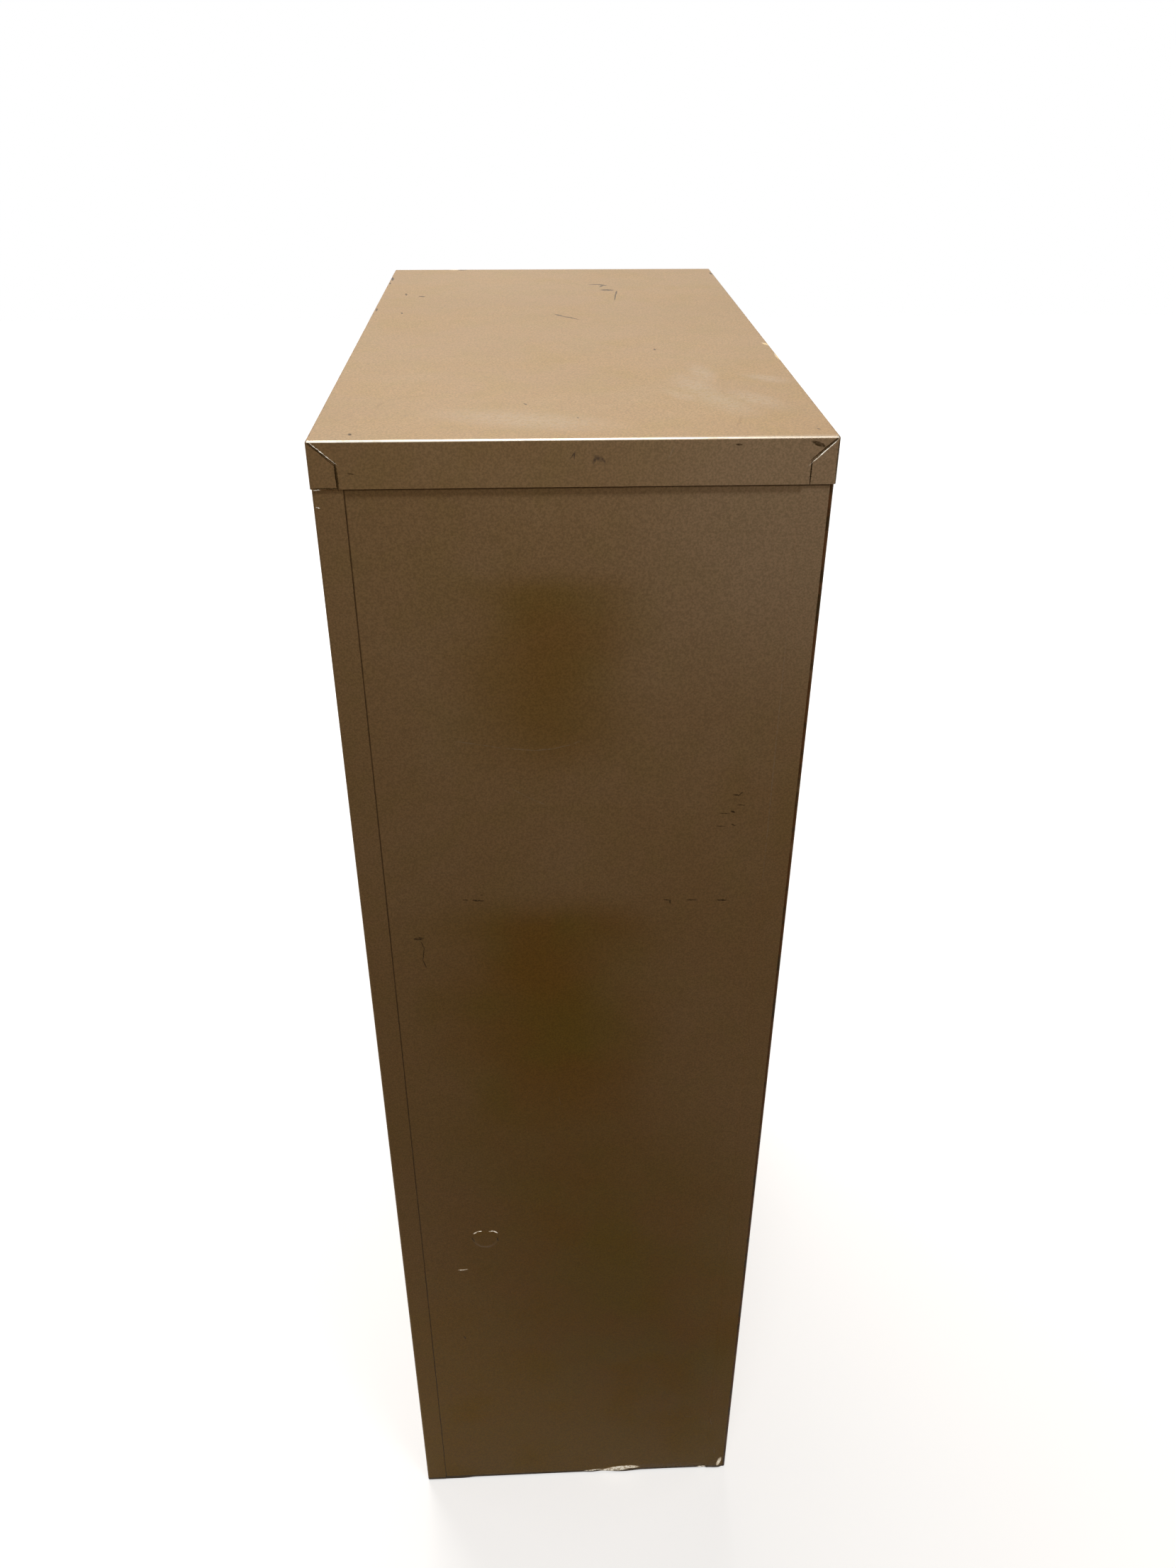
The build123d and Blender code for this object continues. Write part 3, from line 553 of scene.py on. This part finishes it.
def worn_edges(graph, x, y, z):
    """Masks of the chips along the cover's edges and of the rubbed upright rear edges."""
    sides = graph.smooth(graph.math("ABSOLUTE", x), *SIDE_EDGES)
    far = graph.smooth(y, *FRONT_EDGE)
    near_top = graph.smooth(z, *TOP_EDGES)
    edges = graph.math("MULTIPLY", graph.math("MAXIMUM", sides, far), near_top)
    chipped = graph.math("MULTIPLY", edges, graph.smooth(graph.noise(150.0, 3.0), 0.58, 0.66))
    corner = graph.math("MULTIPLY", sides, graph.smooth(y, *REAR_EDGES))
    rubbed = graph.math("MULTIPLY", corner, graph.smooth(graph.noise(95.0, 4.0), 0.62, 0.69))
    return chipped, rubbed


def add_lap_rust_and_shade(graph, colour, on_back):
    """Rust and painted shade on the left panel's return, in the gap beside the back panel's lapped edge.
    """
    lap = graph.math("MULTIPLY", on_back, graph.smooth(graph.noise(30.0, 4.0), 0.15, 0.45))
    colour = graph.mix(graph.math("MULTIPLY", lap, 0.92), colour, RUST)
    lap_darkening = graph.smooth(graph.noise(55.0, 4.0), 0.48, 0.62)
    return graph.mix(graph.math("MULTIPLY", lap_darkening, lap), colour, GRIME_AND_SHADE)


def add_corner_shade_and_dark_foot(graph, colour, x, z):
    """Painted shade on the back panel beside the right return and under the cover, and the panel darker
    at its foot.
    """
    # painted shade beside the return and under the cover's flange
    dirt = graph.math("MAXIMUM", graph.smooth(x, *STRIP_SHADE), graph.smooth(z, *COVER_SHADOW))
    dirt = graph.math("MULTIPLY", dirt, graph.math("MULTIPLY_ADD", graph.noise(45.0, 4.0), 0.5, 0.55))
    colour = graph.mix(dirt, colour, GRIME_AND_SHADE)
    low = graph.smooth(z, *FOOT_DARKER)
    low = graph.math("MULTIPLY", low, graph.smooth(graph.noise(40.0, 4.0), 0.30, 0.50))
    return graph.mix(graph.math("MULTIPLY", low, 0.55), colour, GRIME_AND_SHADE)


def fold_highlight(graph, x, y, z):
    """Mask of a painted highlight on the fold along the cover's rear edge, drawn as enamel rubbed through
    to the steel.

    Over the fold, climb goes from one FOLD at either side to 1.41 FOLD at its middle."""
    climb = graph.math("SUBTRACT", graph.math("ADD", y, z), rear + top - 2 * FOLD)
    fold = graph.smooth(climb, *FOLD_HIGHLIGHT_SPAN)
    highlight_patches = graph.smooth(graph.noise(16.0, 5.0, 0.7, graph.stretch((1.0, 0.0, 0.0))), 0.24, 0.50)
    fade = graph.math("MULTIPLY_ADD", graph.smooth(x, *FOLD_HIGHLIGHT_FADE), 0.45, 0.55)
    return graph.math("MULTIPLY", graph.math("MULTIPLY", fold, fade), highlight_patches)


def case_paint(node):
    """Enamel of one panel of the case, with the photographed marks that lie on it, and with painted
    shade, sheen and highlights.
    """
    graph = Graph(f"{node}_enamel")
    colour, speckle, roughness, relief = enamel_base(graph, (ENAMEL, ENAMEL_DEEP, ENAMEL_PALE))
    x, y, z = graph.split()
    marks = PanelMarks(graph, node)

    if node != "top_cover":
        # painted shade in broad zones and towards the floor
        colour = add_painted_shade(graph, colour, z, marks.on_back)
    # painted sheen high on the back
    colour = add_painted_sheen(graph, colour, x, z, marks.on_back)
    dust = graph.math("MULTIPLY", graph.smooth(graph.noise(9.0, 5.0, 0.65), 0.46, 0.75), marks.on_top)
    colour = graph.mix(graph.math("MULTIPLY", dust, 0.30), colour, DUST_AND_HIGHLIGHT)
    roughness = graph.math("MULTIPLY_ADD", dust, 0.12, roughness)

    chipped, rubbed = worn_edges(graph, x, y, z)
    colour = graph.mix(chipped, graph.scaled(colour, speckle), RUST)
    colour = graph.mix(rubbed, colour, GRIME_AND_SHADE)
    hollow = graph.math("MAXIMUM", chipped, rubbed)
    if node == "left_side_panel":
        # rust, and painted shade in the gap beside the lapped edge
        colour = add_lap_rust_and_shade(graph, colour, marks.on_back)
    if node == "back_panel":
        # painted shade beside the return and under the cover
        colour = add_corner_shade_and_dark_foot(graph, colour, x, z)
    lowest = graph.math("MULTIPLY", graph.smooth(z, *LOWEST_LINE), marks.on_back)
    colour = graph.mix(graph.math("MULTIPLY", lowest, 0.92), colour, GRIME_AND_SHADE)

    for back, up, strength, least, rim, tint in MARK_KINDS:
        found = marks.mask(back, up, strength, least, rim)
        if found is not None:
            colour = graph.mix(found, colour, tint)
    # chips down to the steel, and painted highlights on the rear fold, the seams' lips and the bumps
    bare_and_highlight = marks.mask(BACK_BRIGHT + SEAM_HIGHLIGHTS, TOP_BRIGHT, 1.0, 0.55)
    if node == "top_cover":
        bare_and_highlight = graph.math("MAXIMUM", bare_and_highlight, fold_highlight(graph, x, y, z))
    metallic = 0.0
    if bare_and_highlight is not None:
        colour = graph.mix(bare_and_highlight, colour, BARE_STEEL_AND_HIGHLIGHT)
        roughness = graph.math("MULTIPLY_ADD", bare_and_highlight, -0.16, roughness)
        metallic = graph.math("MULTIPLY", bare_and_highlight, 0.85)
    relief = graph.bump(graph.math("SUBTRACT", 1.0, hollow), 0.00012, 0.6, relief)
    return graph.finish(
        colour, roughness, relief,
        Metallic=metallic, Specular_IOR_Level=0.28 if node == "top_cover" else 0.18,
        Specular_Tint=ENAMEL_SPECULAR,
    )


def drawer_paint():
    """Enamel of the drawer heads and the front rails, with chipped sides, scratches and grimy patches."""
    graph = Graph("drawer_enamel")
    colour, speckle, roughness, relief = enamel_base(graph, (ENAMEL, ENAMEL_DEEP, ENAMEL_PALE))
    across = graph.split()[0]
    edge = graph.smooth(graph.math("ABSOLUTE", across), *HEAD_EDGES)
    chips = graph.smooth(graph.noise(120.0, 4.0), 0.62, 0.68)
    chipped = graph.math("MULTIPLY", edge, chips)
    streaks = graph.noise(1.0, 4.0, 0.6, graph.stretch((900.0, 900.0, 60.0)))
    scratches = graph.smooth(streaks, 0.72, 0.78)
    handled = graph.smooth(graph.noise(22.0, 5.0, 0.62), 0.50, 0.74)
    colour = graph.mix(graph.math("MULTIPLY", handled, 0.24), colour, INNER_DEEP)
    colour = graph.mix(graph.math("MULTIPLY", scratches, 0.35), colour, DUST_AND_HIGHLIGHT)
    colour = graph.mix(chipped, graph.scaled(colour, speckle), GRIME_AND_SHADE)
    roughness = graph.math("MULTIPLY_ADD", handled, -0.08, roughness)
    relief = graph.bump(graph.math("SUBTRACT", 1.0, chipped), 0.0001, 0.5, relief)
    return graph.finish(
        colour, roughness, relief, Specular_IOR_Level=0.42, Specular_Tint=ENAMEL_SPECULAR
    )


def inner_paint():
    """Thin, dull inner coat with scuffs drawn out along the drawers' travel."""
    graph = Graph("inner_enamel")
    colour, speckle, roughness, relief = enamel_base(graph, (INNER, INNER_DEEP, ENAMEL_DEEP))
    scuffs = graph.noise(1.0, 5.0, 0.6, graph.stretch((300.0, 14.0, 300.0)))
    scuffs = graph.smooth(scuffs, 0.60, 0.72)
    dirt = graph.smooth(graph.noise(11.0, 5.0, 0.65), 0.52, 0.78)
    colour = graph.mix(graph.math("MULTIPLY", scuffs, 0.30), colour, ZINC_DULL)
    colour = graph.mix(graph.math("MULTIPLY", dirt, 0.45), graph.scaled(colour, speckle), GRIME_AND_SHADE)
    roughness = graph.math("ADD", roughness, 0.14)
    return graph.finish(
        colour, roughness, relief, Specular_IOR_Level=0.35, Specular_Tint=ENAMEL_SPECULAR
    )


def plated_steel(name, bright, dull, rough, grain):
    """Plated steel, drawn along the axis where grain is small, with oily dirt."""
    graph = Graph(name)
    drawn = graph.noise(1.0, 4.0, 0.6, graph.stretch(grain))
    spangle = graph.smooth(graph.noise(60.0, 3.0), 0.40, 0.66)
    oily = graph.smooth(graph.noise(17.0, 5.0, 0.65), 0.56, 0.74)
    colour = graph.mix(graph.math("MULTIPLY", spangle, 0.5), bright, dull)
    colour = graph.mix(graph.math("MULTIPLY", graph.smooth(drawn, 0.40, 0.70), 0.35), colour, dull)
    colour = graph.mix(graph.math("MULTIPLY", oily, 0.55), colour, OIL)
    roughness = graph.math("MULTIPLY_ADD", drawn, 0.20, rough)
    roughness = graph.math("MULTIPLY_ADD", oily, 0.10, roughness)
    relief = graph.bump(drawn, 0.00003, 0.5)
    metallic = graph.math("MULTIPLY_ADD", oily, -0.5, 1.0)
    return graph.finish(colour, roughness, relief, Metallic=metallic)


def nylon():
    """Natural nylon, dirty where the rollers run."""
    graph = Graph("roller_nylon")
    dirt = graph.smooth(graph.noise(75.0, 4.0, 0.6), 0.42, 0.68)
    cloudy = graph.noise(35.0, 3.0)
    colour = graph.mix(graph.math("MULTIPLY", dirt, 0.55), NYLON, NYLON_DIRTY)
    roughness = graph.math("MULTIPLY_ADD", cloudy, 0.15, 0.40)
    relief = graph.bump(graph.noise(900.0, 2.0), 0.00003, 0.4)
    return graph.finish(colour, roughness, relief, Specular_IOR_Level=0.45)


def card_paper():
    """Blank card, faded in patches, with paper fibres."""
    graph = Graph("label_card")
    faded = graph.smooth(graph.noise(26.0, 4.0), 0.40, 0.70)
    fibres = graph.noise(1.0, 4.0, 0.7, graph.stretch((1400.0, 1400.0, 500.0)))
    colour = graph.mix(graph.math("MULTIPLY", faded, 0.6), CARD, CARD_FADED)
    colour = graph.mix(graph.math("MULTIPLY", graph.smooth(fibres, 0.55, 0.75), 0.25), colour, CARD_FADED)
    relief = graph.bump(fibres, 0.00003, 0.5)
    return graph.finish(colour, 0.82, relief, Specular_IOR_Level=0.25)


MATERIALS = {                   # by slot; the outer panels of the slot case_paint have their own
    "case_paint": drawer_paint(),
    "drawer_paint": drawer_paint(),
    "inner_paint": inner_paint(),
    "rail_steel": plated_steel("zinc_rail", ZINC, ZINC_DULL, 0.26, (700.0, 9.0, 700.0)),
    "spring_steel": plated_steel("spring_wire", ZINC_DULL, OIL, 0.30, (200.0, 900.0, 900.0)),
    "glide_steel": plated_steel("glide_plate", ZINC, ZINC_DULL, 0.32, (300.0, 300.0, 900.0)),
    "chrome_trim": plated_steel("satin_chrome", CHROME, CHROME_DULL, 0.16, (22.0, 900.0, 900.0)),
    "nylon": nylon(),
}
CARD_PAPER = card_paper()


def dress_nodes():
    """Gives every CAD node the material of its slot, and each outer panel its own marks."""
    for row in frame["record"]["subparts"]:
        name = row["node"]
        material = case_paint(name) if name in PANELS else MATERIALS[row["material_slot"]]
        mesh = frame["nodes"][name].data
        mesh.materials.clear()
        mesh.materials.append(material)


# ---------------------------------------------------------------- new pieces

SHARP_TURN = math.radians(35)   # edges that turn further are drawn sharp


def border(last_row, last_column):
    """Each pair of neighbours on the border of a grid, as (row, column), once round."""
    rim = [(0, i) for i in range(last_column)] + [(j, last_column) for j in range(last_row)]
    rim += [(last_row, i) for i in range(last_column, 0, -1)] + [(j, 0) for j in range(last_row, 0, -1)]
    return zip(rim, rim[1:] + rim[:1])


def finished_mesh(name, mesh_data):
    """A mesh with outward faces, smooth but for its sharp edges."""
    bmesh.ops.recalc_face_normals(mesh_data, faces=mesh_data.faces)
    for face in mesh_data.faces:
        face.smooth = True
    for edge in mesh_data.edges:
        if edge.is_manifold and edge.calc_face_angle(0.0) > SHARP_TURN:
            edge.smooth = False
    mesh = bpy.data.meshes.new(name)
    mesh_data.to_mesh(mesh)
    mesh_data.free()
    return mesh


def placed(name, mesh, material, body, slot, *replaced):
    """An object in the scene that rides on a body and may stand for CAD nodes."""
    mesh.materials.clear()
    mesh.materials.append(material)
    made = bpy.data.objects.new(name, mesh)
    bpy.context.scene.collection.objects.link(made)
    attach(made, body)
    if replaced:
        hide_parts(*replaced)
    return made


# ---------------------------------------------------------------- label cards

WINDOW_HALF_WIDTH = 34.0 * MM   # of the label holder
WINDOW_HALF_HEIGHT = 16.0 * MM
CARD_MARGIN = 1.0 * MM          # card past the window on each side
CARD_CLEARANCE = 0.3 * MM       # card inside the window's height, above and below
CARD_GAP = 0.1 * MM             # between the card and the drawer's head
CARD_THICKNESS = 0.3 * MM
CARD_BOW = 0.12 * MM            # the card bulges a little towards the window
CARD_BOW_LOSS = 0.6             # share of the bow that is gone at its upper and lower edges
CARD_CELLS = (24, 12)


def label_card(number):
    """A blank, slightly bowed card behind the frame of one label holder.

    It lies before the drawer's head, whose outer face is flush with the case's front."""
    low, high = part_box(f"drawer_{number}_label_holder")
    centre_x, centre_z = (low.x + high.x) / 2, (low.z + high.z) / 2
    half_x, half_z = WINDOW_HALF_WIDTH + CARD_MARGIN, WINDOW_HALF_HEIGHT - CARD_CLEARANCE
    columns, rows = CARD_CELLS
    vertices, faces = [], []
    for layer in (0, 1):
        for j in range(rows + 1):
            for i in range(columns + 1):
                u, v = 2 * i / columns - 1, 2 * j / rows - 1
                bow = CARD_BOW * (1 - u * u) * (1 - CARD_BOW_LOSS * v * v)
                depth = CARD_GAP + bow + layer * CARD_THICKNESS
                vertices.append((centre_x + u * half_x, front - depth, centre_z + v * half_z))
    per_row = columns + 1
    per_layer = per_row * (rows + 1)
    for j in range(rows):
        for i in range(columns):
            a = j * per_row + i
            faces.append((a, a + per_row, a + per_row + 1, a + 1))
            b = a + per_layer
            faces.append((b, b + 1, b + per_row + 1, b + per_row))
    for (j, i), (m, n) in border(rows, columns):
        a, b = j * per_row + i, m * per_row + n
        faces.append((a, b, b + per_layer, a + per_layer))
    mesh = bpy.data.meshes.new(f"card_{number}")
    mesh.from_pydata(vertices, [], faces)
    mesh.polygons.foreach_set("use_smooth", [True] * len(mesh.polygons))
    placed(f"card_{number}", mesh, CARD_PAPER, f"drawer_{number}", "nylon")


# ---------------------------------------------------------------- latch springs

SPRING_TURNS = 7
SPRING_WIRE = 0.8 * MM
SPRING_STEPS = 24               # round each turn
SPRING_SIDES = 12               # round the wire


def latch_spring(joint):
    """Return spring of one latch, as a coil that keeps its length, though the real spring shortens by as
    much as the latch slides.
    """
    held = joint["deforming_nodes"][0]
    low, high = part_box(held["node"])
    middle = (low + high) / 2
    radius = (high.z - low.z - SPRING_WIRE) / 2
    pitch = (high.x - low.x - SPRING_WIRE) / SPRING_TURNS
    mesh_data = bmesh.new()
    rings = []
    for step in range(SPRING_TURNS * SPRING_STEPS + 1):
        turn = math.tau * step / SPRING_STEPS
        outward = Vector((0.0, math.cos(turn), math.sin(turn)))
        forward = Vector((1.0, 0.0, 0.0)).cross(outward) * math.tau * radius
        forward.x = pitch
        sideways = forward.normalized().cross(outward)
        centre = Vector((low.x + SPRING_WIRE / 2 + pitch * step / SPRING_STEPS, middle.y, middle.z))
        centre += outward * radius
        ring = []
        for side in range(SPRING_SIDES):
            angle = math.tau * side / SPRING_SIDES
            offset = outward * math.cos(angle) + sideways * math.sin(angle)
            ring.append(mesh_data.verts.new(centre + offset * SPRING_WIRE / 2))
        rings.append(ring)
    for ring, following in zip(rings, rings[1:]):
        for i in range(SPRING_SIDES):
            beside = (i + 1) % SPRING_SIDES
            mesh_data.faces.new([ring[i], ring[beside], following[beside], following[i]])
    mesh_data.faces.new(rings[0])
    mesh_data.faces.new(rings[-1])
    name = held["node"] + "_coil"
    mesh = finished_mesh(name, mesh_data)
    material = MATERIALS["spring_steel"]
    coil = placed(name, mesh, material, joint["parent"], "spring_steel", held["node"])
    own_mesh(coil)


# ---------------------------------------------------------------- back panel
# Millimetres, in the same places as the marks on the back.

JOGGLE_START = 20.6             # from the lapped edge to where the sheet steps in by its thickness
JOGGLE_RUN = 1.6                # length of that step
LAP_CORNER = 6.0                # corner radius of the lapped edge
EDGE_REACH = 26.0               # height over which the lower edge's unevenness dies out
DENTS = [                       # centre, half width, half height, push outwards, rim share
    ((92.4, 464), 14.0, 14.0, 0.75, 0.30),
    ((65.6, 414.4), 6.5, 3.0, 0.45, 0.9),
    ((210, 2), 12.0, 9.0, 0.5, 0.9),
    ((247, 1), 27.0, 17.0, 1.25, 0.9),
    ((368, 9), 10.0, 16.0, 0.45, 0.8),
]
LOWER_EDGE = [                  # places across, and how far the sheet's lower edge is lifted there
    (0, -1.4), (46, -1.4), (62, 0.4), (200, 0.6), (226, 1.2), (250, 0.2), (300, 0.3), (381, -0.2),
]
WAVE = 0.22                     # height of the sheet's slight bulges
WAVE_LENGTHS = (95, 160)        # and their rough size, across and up
STILL_ACROSS = ((30, 80), (350, 300))        # from flat to full bulges, beside each edge
STILL_UP = ((40, 140), (1280, 1200))
NOISE_SLICE = 3.7               # slice of the noise that shapes them
DENTED_COLUMNS = [(56, 110), (196, 304)]     # meshed finely, across the dents
DENTED_ROWS = [(408, 422), (448, 480)]
FOOT_ROWS_TOP = 32              # and so is the sheet up to here
HEAD_ROWS = 12                  # and this much of it below its upper edge
JOGGLE_COLUMNS = 4              # and from this far beside the step to the lapped edge
FINE_STEP, COLUMN_STEP, ROW_STEP = 1.0, 6.0, 12.0


def eased(value, low, high):
    """0 at low and 1 at high, eased between. low may be the larger."""
    share = min(max((value - low) / (high - low), 0.0), 1.0)
    return share * share * (3 - 2 * share)


def along_line(line, value):
    """Height of a run of points at the given place, eased between them."""
    for (a, low), (b, high) in zip(line, line[1:]):
        if value <= b:
            return low + (high - low) * eased(value, a, b)
    return line[-1][1]


def spread(low, high, fine_spans, fine, coarse):
    """Places from low to high, close together in the fine spans."""
    places = [low]
    while places[-1] < high:
        here = places[-1]
        inside = any(a <= here < b for a, b in fine_spans)
        coming = [a for a, b in fine_spans if a > here]
        step = here + (fine if inside else coarse)
        places.append(min([step, high] + coming))
    return places


def pushed(across, height):
    """How far the sheet is pushed outwards at a place of the back."""
    push = 0.0
    for (x, z), half_x, half_z, depth, rim in DENTS:
        reach = math.hypot((across - x) / half_x, (height - z) / half_z)
        push += depth * eased(reach, 1.0, 1.0 - rim)
    calm = 1.0
    for place, spans in ((across, STILL_ACROSS), (height, STILL_UP)):
        for flat, full in spans:
            calm *= eased(place, flat, full)
    wave_x, wave_z = WAVE_LENGTHS
    bulge = noise.noise(Vector((across / wave_x, NOISE_SLICE, height / wave_z)))
    return push + WAVE * calm * bulge


def back_sheet():
    """The back panel as a fine sheet, with its step, its dents and its uneven lower edge."""
    sheet = (panel_high.y - panel_low.y) / 2
    left, right = (half_width - panel_high.x) / MM, (half_width - panel_low.x) / MM
    foot, head = panel_low.z / MM, panel_high.z / MM
    joggle = right - JOGGLE_START
    fine_columns = DENTED_COLUMNS + [(joggle - JOGGLE_COLUMNS, right)]
    fine_rows = DENTED_ROWS + [(foot, FOOT_ROWS_TOP), (head - HEAD_ROWS, head)]
    columns = spread(left, right, fine_columns, FINE_STEP, COLUMN_STEP)
    rows = spread(foot, head, fine_rows, FINE_STEP, ROW_STEP)

    def vertex(across, height, inside):
        """A point of the sheet's outer or inner face, moved at its ends to the edges' true lines."""
        corner = max(LAP_CORNER - (right - across), 0.0)
        bite = LAP_CORNER - math.sqrt(LAP_CORNER ** 2 - corner ** 2)
        lift = along_line(LOWER_EDGE, across) + bite
        z = height + lift * eased(height, foot + EDGE_REACH, foot)
        z -= bite * eased(height, head - EDGE_REACH, head)
        y = panel_high.y - sheet * eased(across, joggle, joggle - JOGGLE_RUN)
        y += pushed(across, height) * MM - inside * sheet
        return (half_width - across * MM, y, z * MM)

    mesh_data = bmesh.new()
    layers = [
        [[mesh_data.verts.new(vertex(across, height, inside)) for across in columns] for height in rows]
        for inside in (0, 1)
    ]
    outer, inner = layers
    last_row, last_column = len(rows) - 1, len(columns) - 1
    for j in range(last_row):
        for i in range(last_column):
            for grid, turned in ((outer, False), (inner, True)):
                corners = [grid[j][i], grid[j][i + 1], grid[j + 1][i + 1], grid[j + 1][i]]
                mesh_data.faces.new(corners[::-1] if turned else corners)
    for (j, i), (m, n) in border(last_row, last_column):
        mesh_data.faces.new([outer[m][n], outer[j][i], inner[j][i], inner[m][n]])
    mesh = finished_mesh("back_sheet", mesh_data)
    placed("back_sheet", mesh, case_paint("back_panel"), "case", "case_paint", "back_panel")


# ---------------------------------------------------------------- floor, light and camera

SEEN_RAYS = ("Is Camera Ray", "Is Glossy Ray", "Is Transmission Ray")
WHITE = (1.0, 1.0, 1.0)
FLOOR_SIZE = 14.0
FLOOR_DIFFUSE = (0.27, 0.16, 0.05)   # what the floor sends back up on to the object
FLOOR_SEEN = (0.88, 0.88, 0.88)
FLOOR_LIFT = 0.70                    # takes the lit floor to white for the rays that see it
FLOOR_FAR_LIFT = 0.45                # more of it away from the object and its lamps
FLOOR_NEAR, FLOOR_FAR = 0.7, 2.6     # where that begins and ends
WORLD_DIFFUSE = (0.044, 0.028, 0.009)
LAMP_WHITE = (1.0, 0.97, 0.93)
CEILING_WHITE = (1.0, 0.97, 0.94)
SIDE_LAMPS = {"left": (-2.6, -0.4, 0.75), "right": (2.6, -0.4, 0.75), "front": (0.5, -2.9, 0.8)}
SIDE_AIM = (0.0, 0.0, 0.65)


def seen_ray(graph):
    """1 for camera, glossy and transmission rays, and 0 for the rays that carry diffuse light."""
    path = graph.add("ShaderNodeLightPath")
    return graph.largest([path.outputs[ray] for ray in SEEN_RAYS])


def make_floor():
    """A pale floor that keeps the object's shadow and is warm to diffuse light."""
    half = FLOOR_SIZE / 2
    mesh = bpy.data.meshes.new("floor")
    corners = [(-half, -half, 0), (half, -half, 0), (half, half, 0), (-half, half, 0)]
    mesh.from_pydata(corners, [], [(0, 1, 2, 3)])
    floor = bpy.data.objects.new("floor", mesh)
    bpy.context.scene.collection.objects.link(floor)
    graph = Graph("floor")
    seen = seen_ray(graph)
    distance = graph.add("ShaderNodeVectorMath", operation="LENGTH")
    graph.feed(distance.inputs[0], graph.place)
    away = graph.smooth(distance.outputs["Value"], FLOOR_NEAR, FLOOR_FAR)
    lift = graph.math("MULTIPLY_ADD", away, FLOOR_FAR_LIFT, FLOOR_LIFT)
    mesh.materials.append(graph.finish(
        graph.mix(seen, FLOOR_DIFFUSE, FLOOR_SEEN), 0.9,
        Emission_Color=WHITE, Emission_Strength=graph.math("MULTIPLY", seen, lift),
        Specular_IOR_Level=0.0,
    ))


def make_world():
    """White to the eye and in reflections, dim and warm as light."""
    world = bpy.data.worlds.new("room")
    bpy.context.scene.world = world
    world.use_nodes = True
    tree = world.node_tree
    path = tree.nodes.new("ShaderNodeLightPath")
    colour = tree.nodes["Background"].inputs["Color"]
    colour.default_value = (*WORLD_DIFFUSE, 1.0)
    source = None
    for ray in SEEN_RAYS:
        made = tree.nodes.new("ShaderNodeMix")
        made.data_type = "RGBA"
        tree.links.new(path.outputs[ray], made.inputs[0])
        if source is None:
            made.inputs[6].default_value = (*WORLD_DIFFUSE, 1.0)
        else:
            tree.links.new(source, made.inputs[6])
        made.inputs[7].default_value = (*WHITE, 1.0)
        source = made.outputs[2]
    tree.links.new(source, colour)


def make_lamp(name, place, aim, size, power, colour=LAMP_WHITE):
    """A square area lamp at place, facing aim, of that power in watts."""
    data = bpy.data.lights.new(name, "AREA")
    data.shape = "SQUARE"
    data.size = size
    data.energy = power
    data.color = colour
    lamp = bpy.data.objects.new(name, data)
    lamp.location = place
    direction = Vector(aim) - Vector(place)
    lamp.rotation_euler = direction.to_track_quat("-Z", "Y").to_euler()
    bpy.context.scene.collection.objects.link(lamp)


def make_lights():
    """A broad light over the front and top, a ceiling lamp that grazes the back, a window, and
    three weak lights on the sides and the front, which the photograph doesn't show."""
    middle = (0.0, (front + rear) / 2, top)
    rear_edge = (0.0, rear, top)
    upper_back = (0.0, rear, 0.9)
    make_lamp("broad", (0.45, front - 1.1, top + 2.2), middle, size=1.8, power=52.0)
    make_lamp("ceiling", (-0.1, rear + 0.3, top + 1.1), rear_edge, 0.16, 4.4, CEILING_WHITE)
    make_lamp("window", (-0.45, rear + 0.95, top + 0.75), upper_back, 0.5, 2.2, CEILING_WHITE)
    for name, place in SIDE_LAMPS.items():
        make_lamp(name, place, SIDE_AIM, size=1.2, power=7.0)


def make_camera():
    """The photograph's camera."""
    data = bpy.data.cameras.new("camera")
    data.sensor_width = CAMERA_SENSOR
    data.lens = CAMERA_LENS
    camera = bpy.data.objects.new("camera", data)
    camera.location = (CAMERA_X, rear + CAMERA_BEHIND, CAMERA_HEIGHT)
    camera.rotation_euler = [math.radians(angle) for angle in CAMERA_TURN]
    bpy.context.scene.collection.objects.link(camera)
    bpy.context.scene.camera = camera


make_camera()
dress_nodes()
back_sheet()
for number in range(1, drawer_count + 1):
    label_card(number)
for joint in frame["record"]["behaviour"]["joints"]:
    if "deforming_nodes" in joint:
        latch_spring(joint)
make_floor()
make_world()
make_lights()
bpy.context.scene.view_settings.view_transform = "Standard"
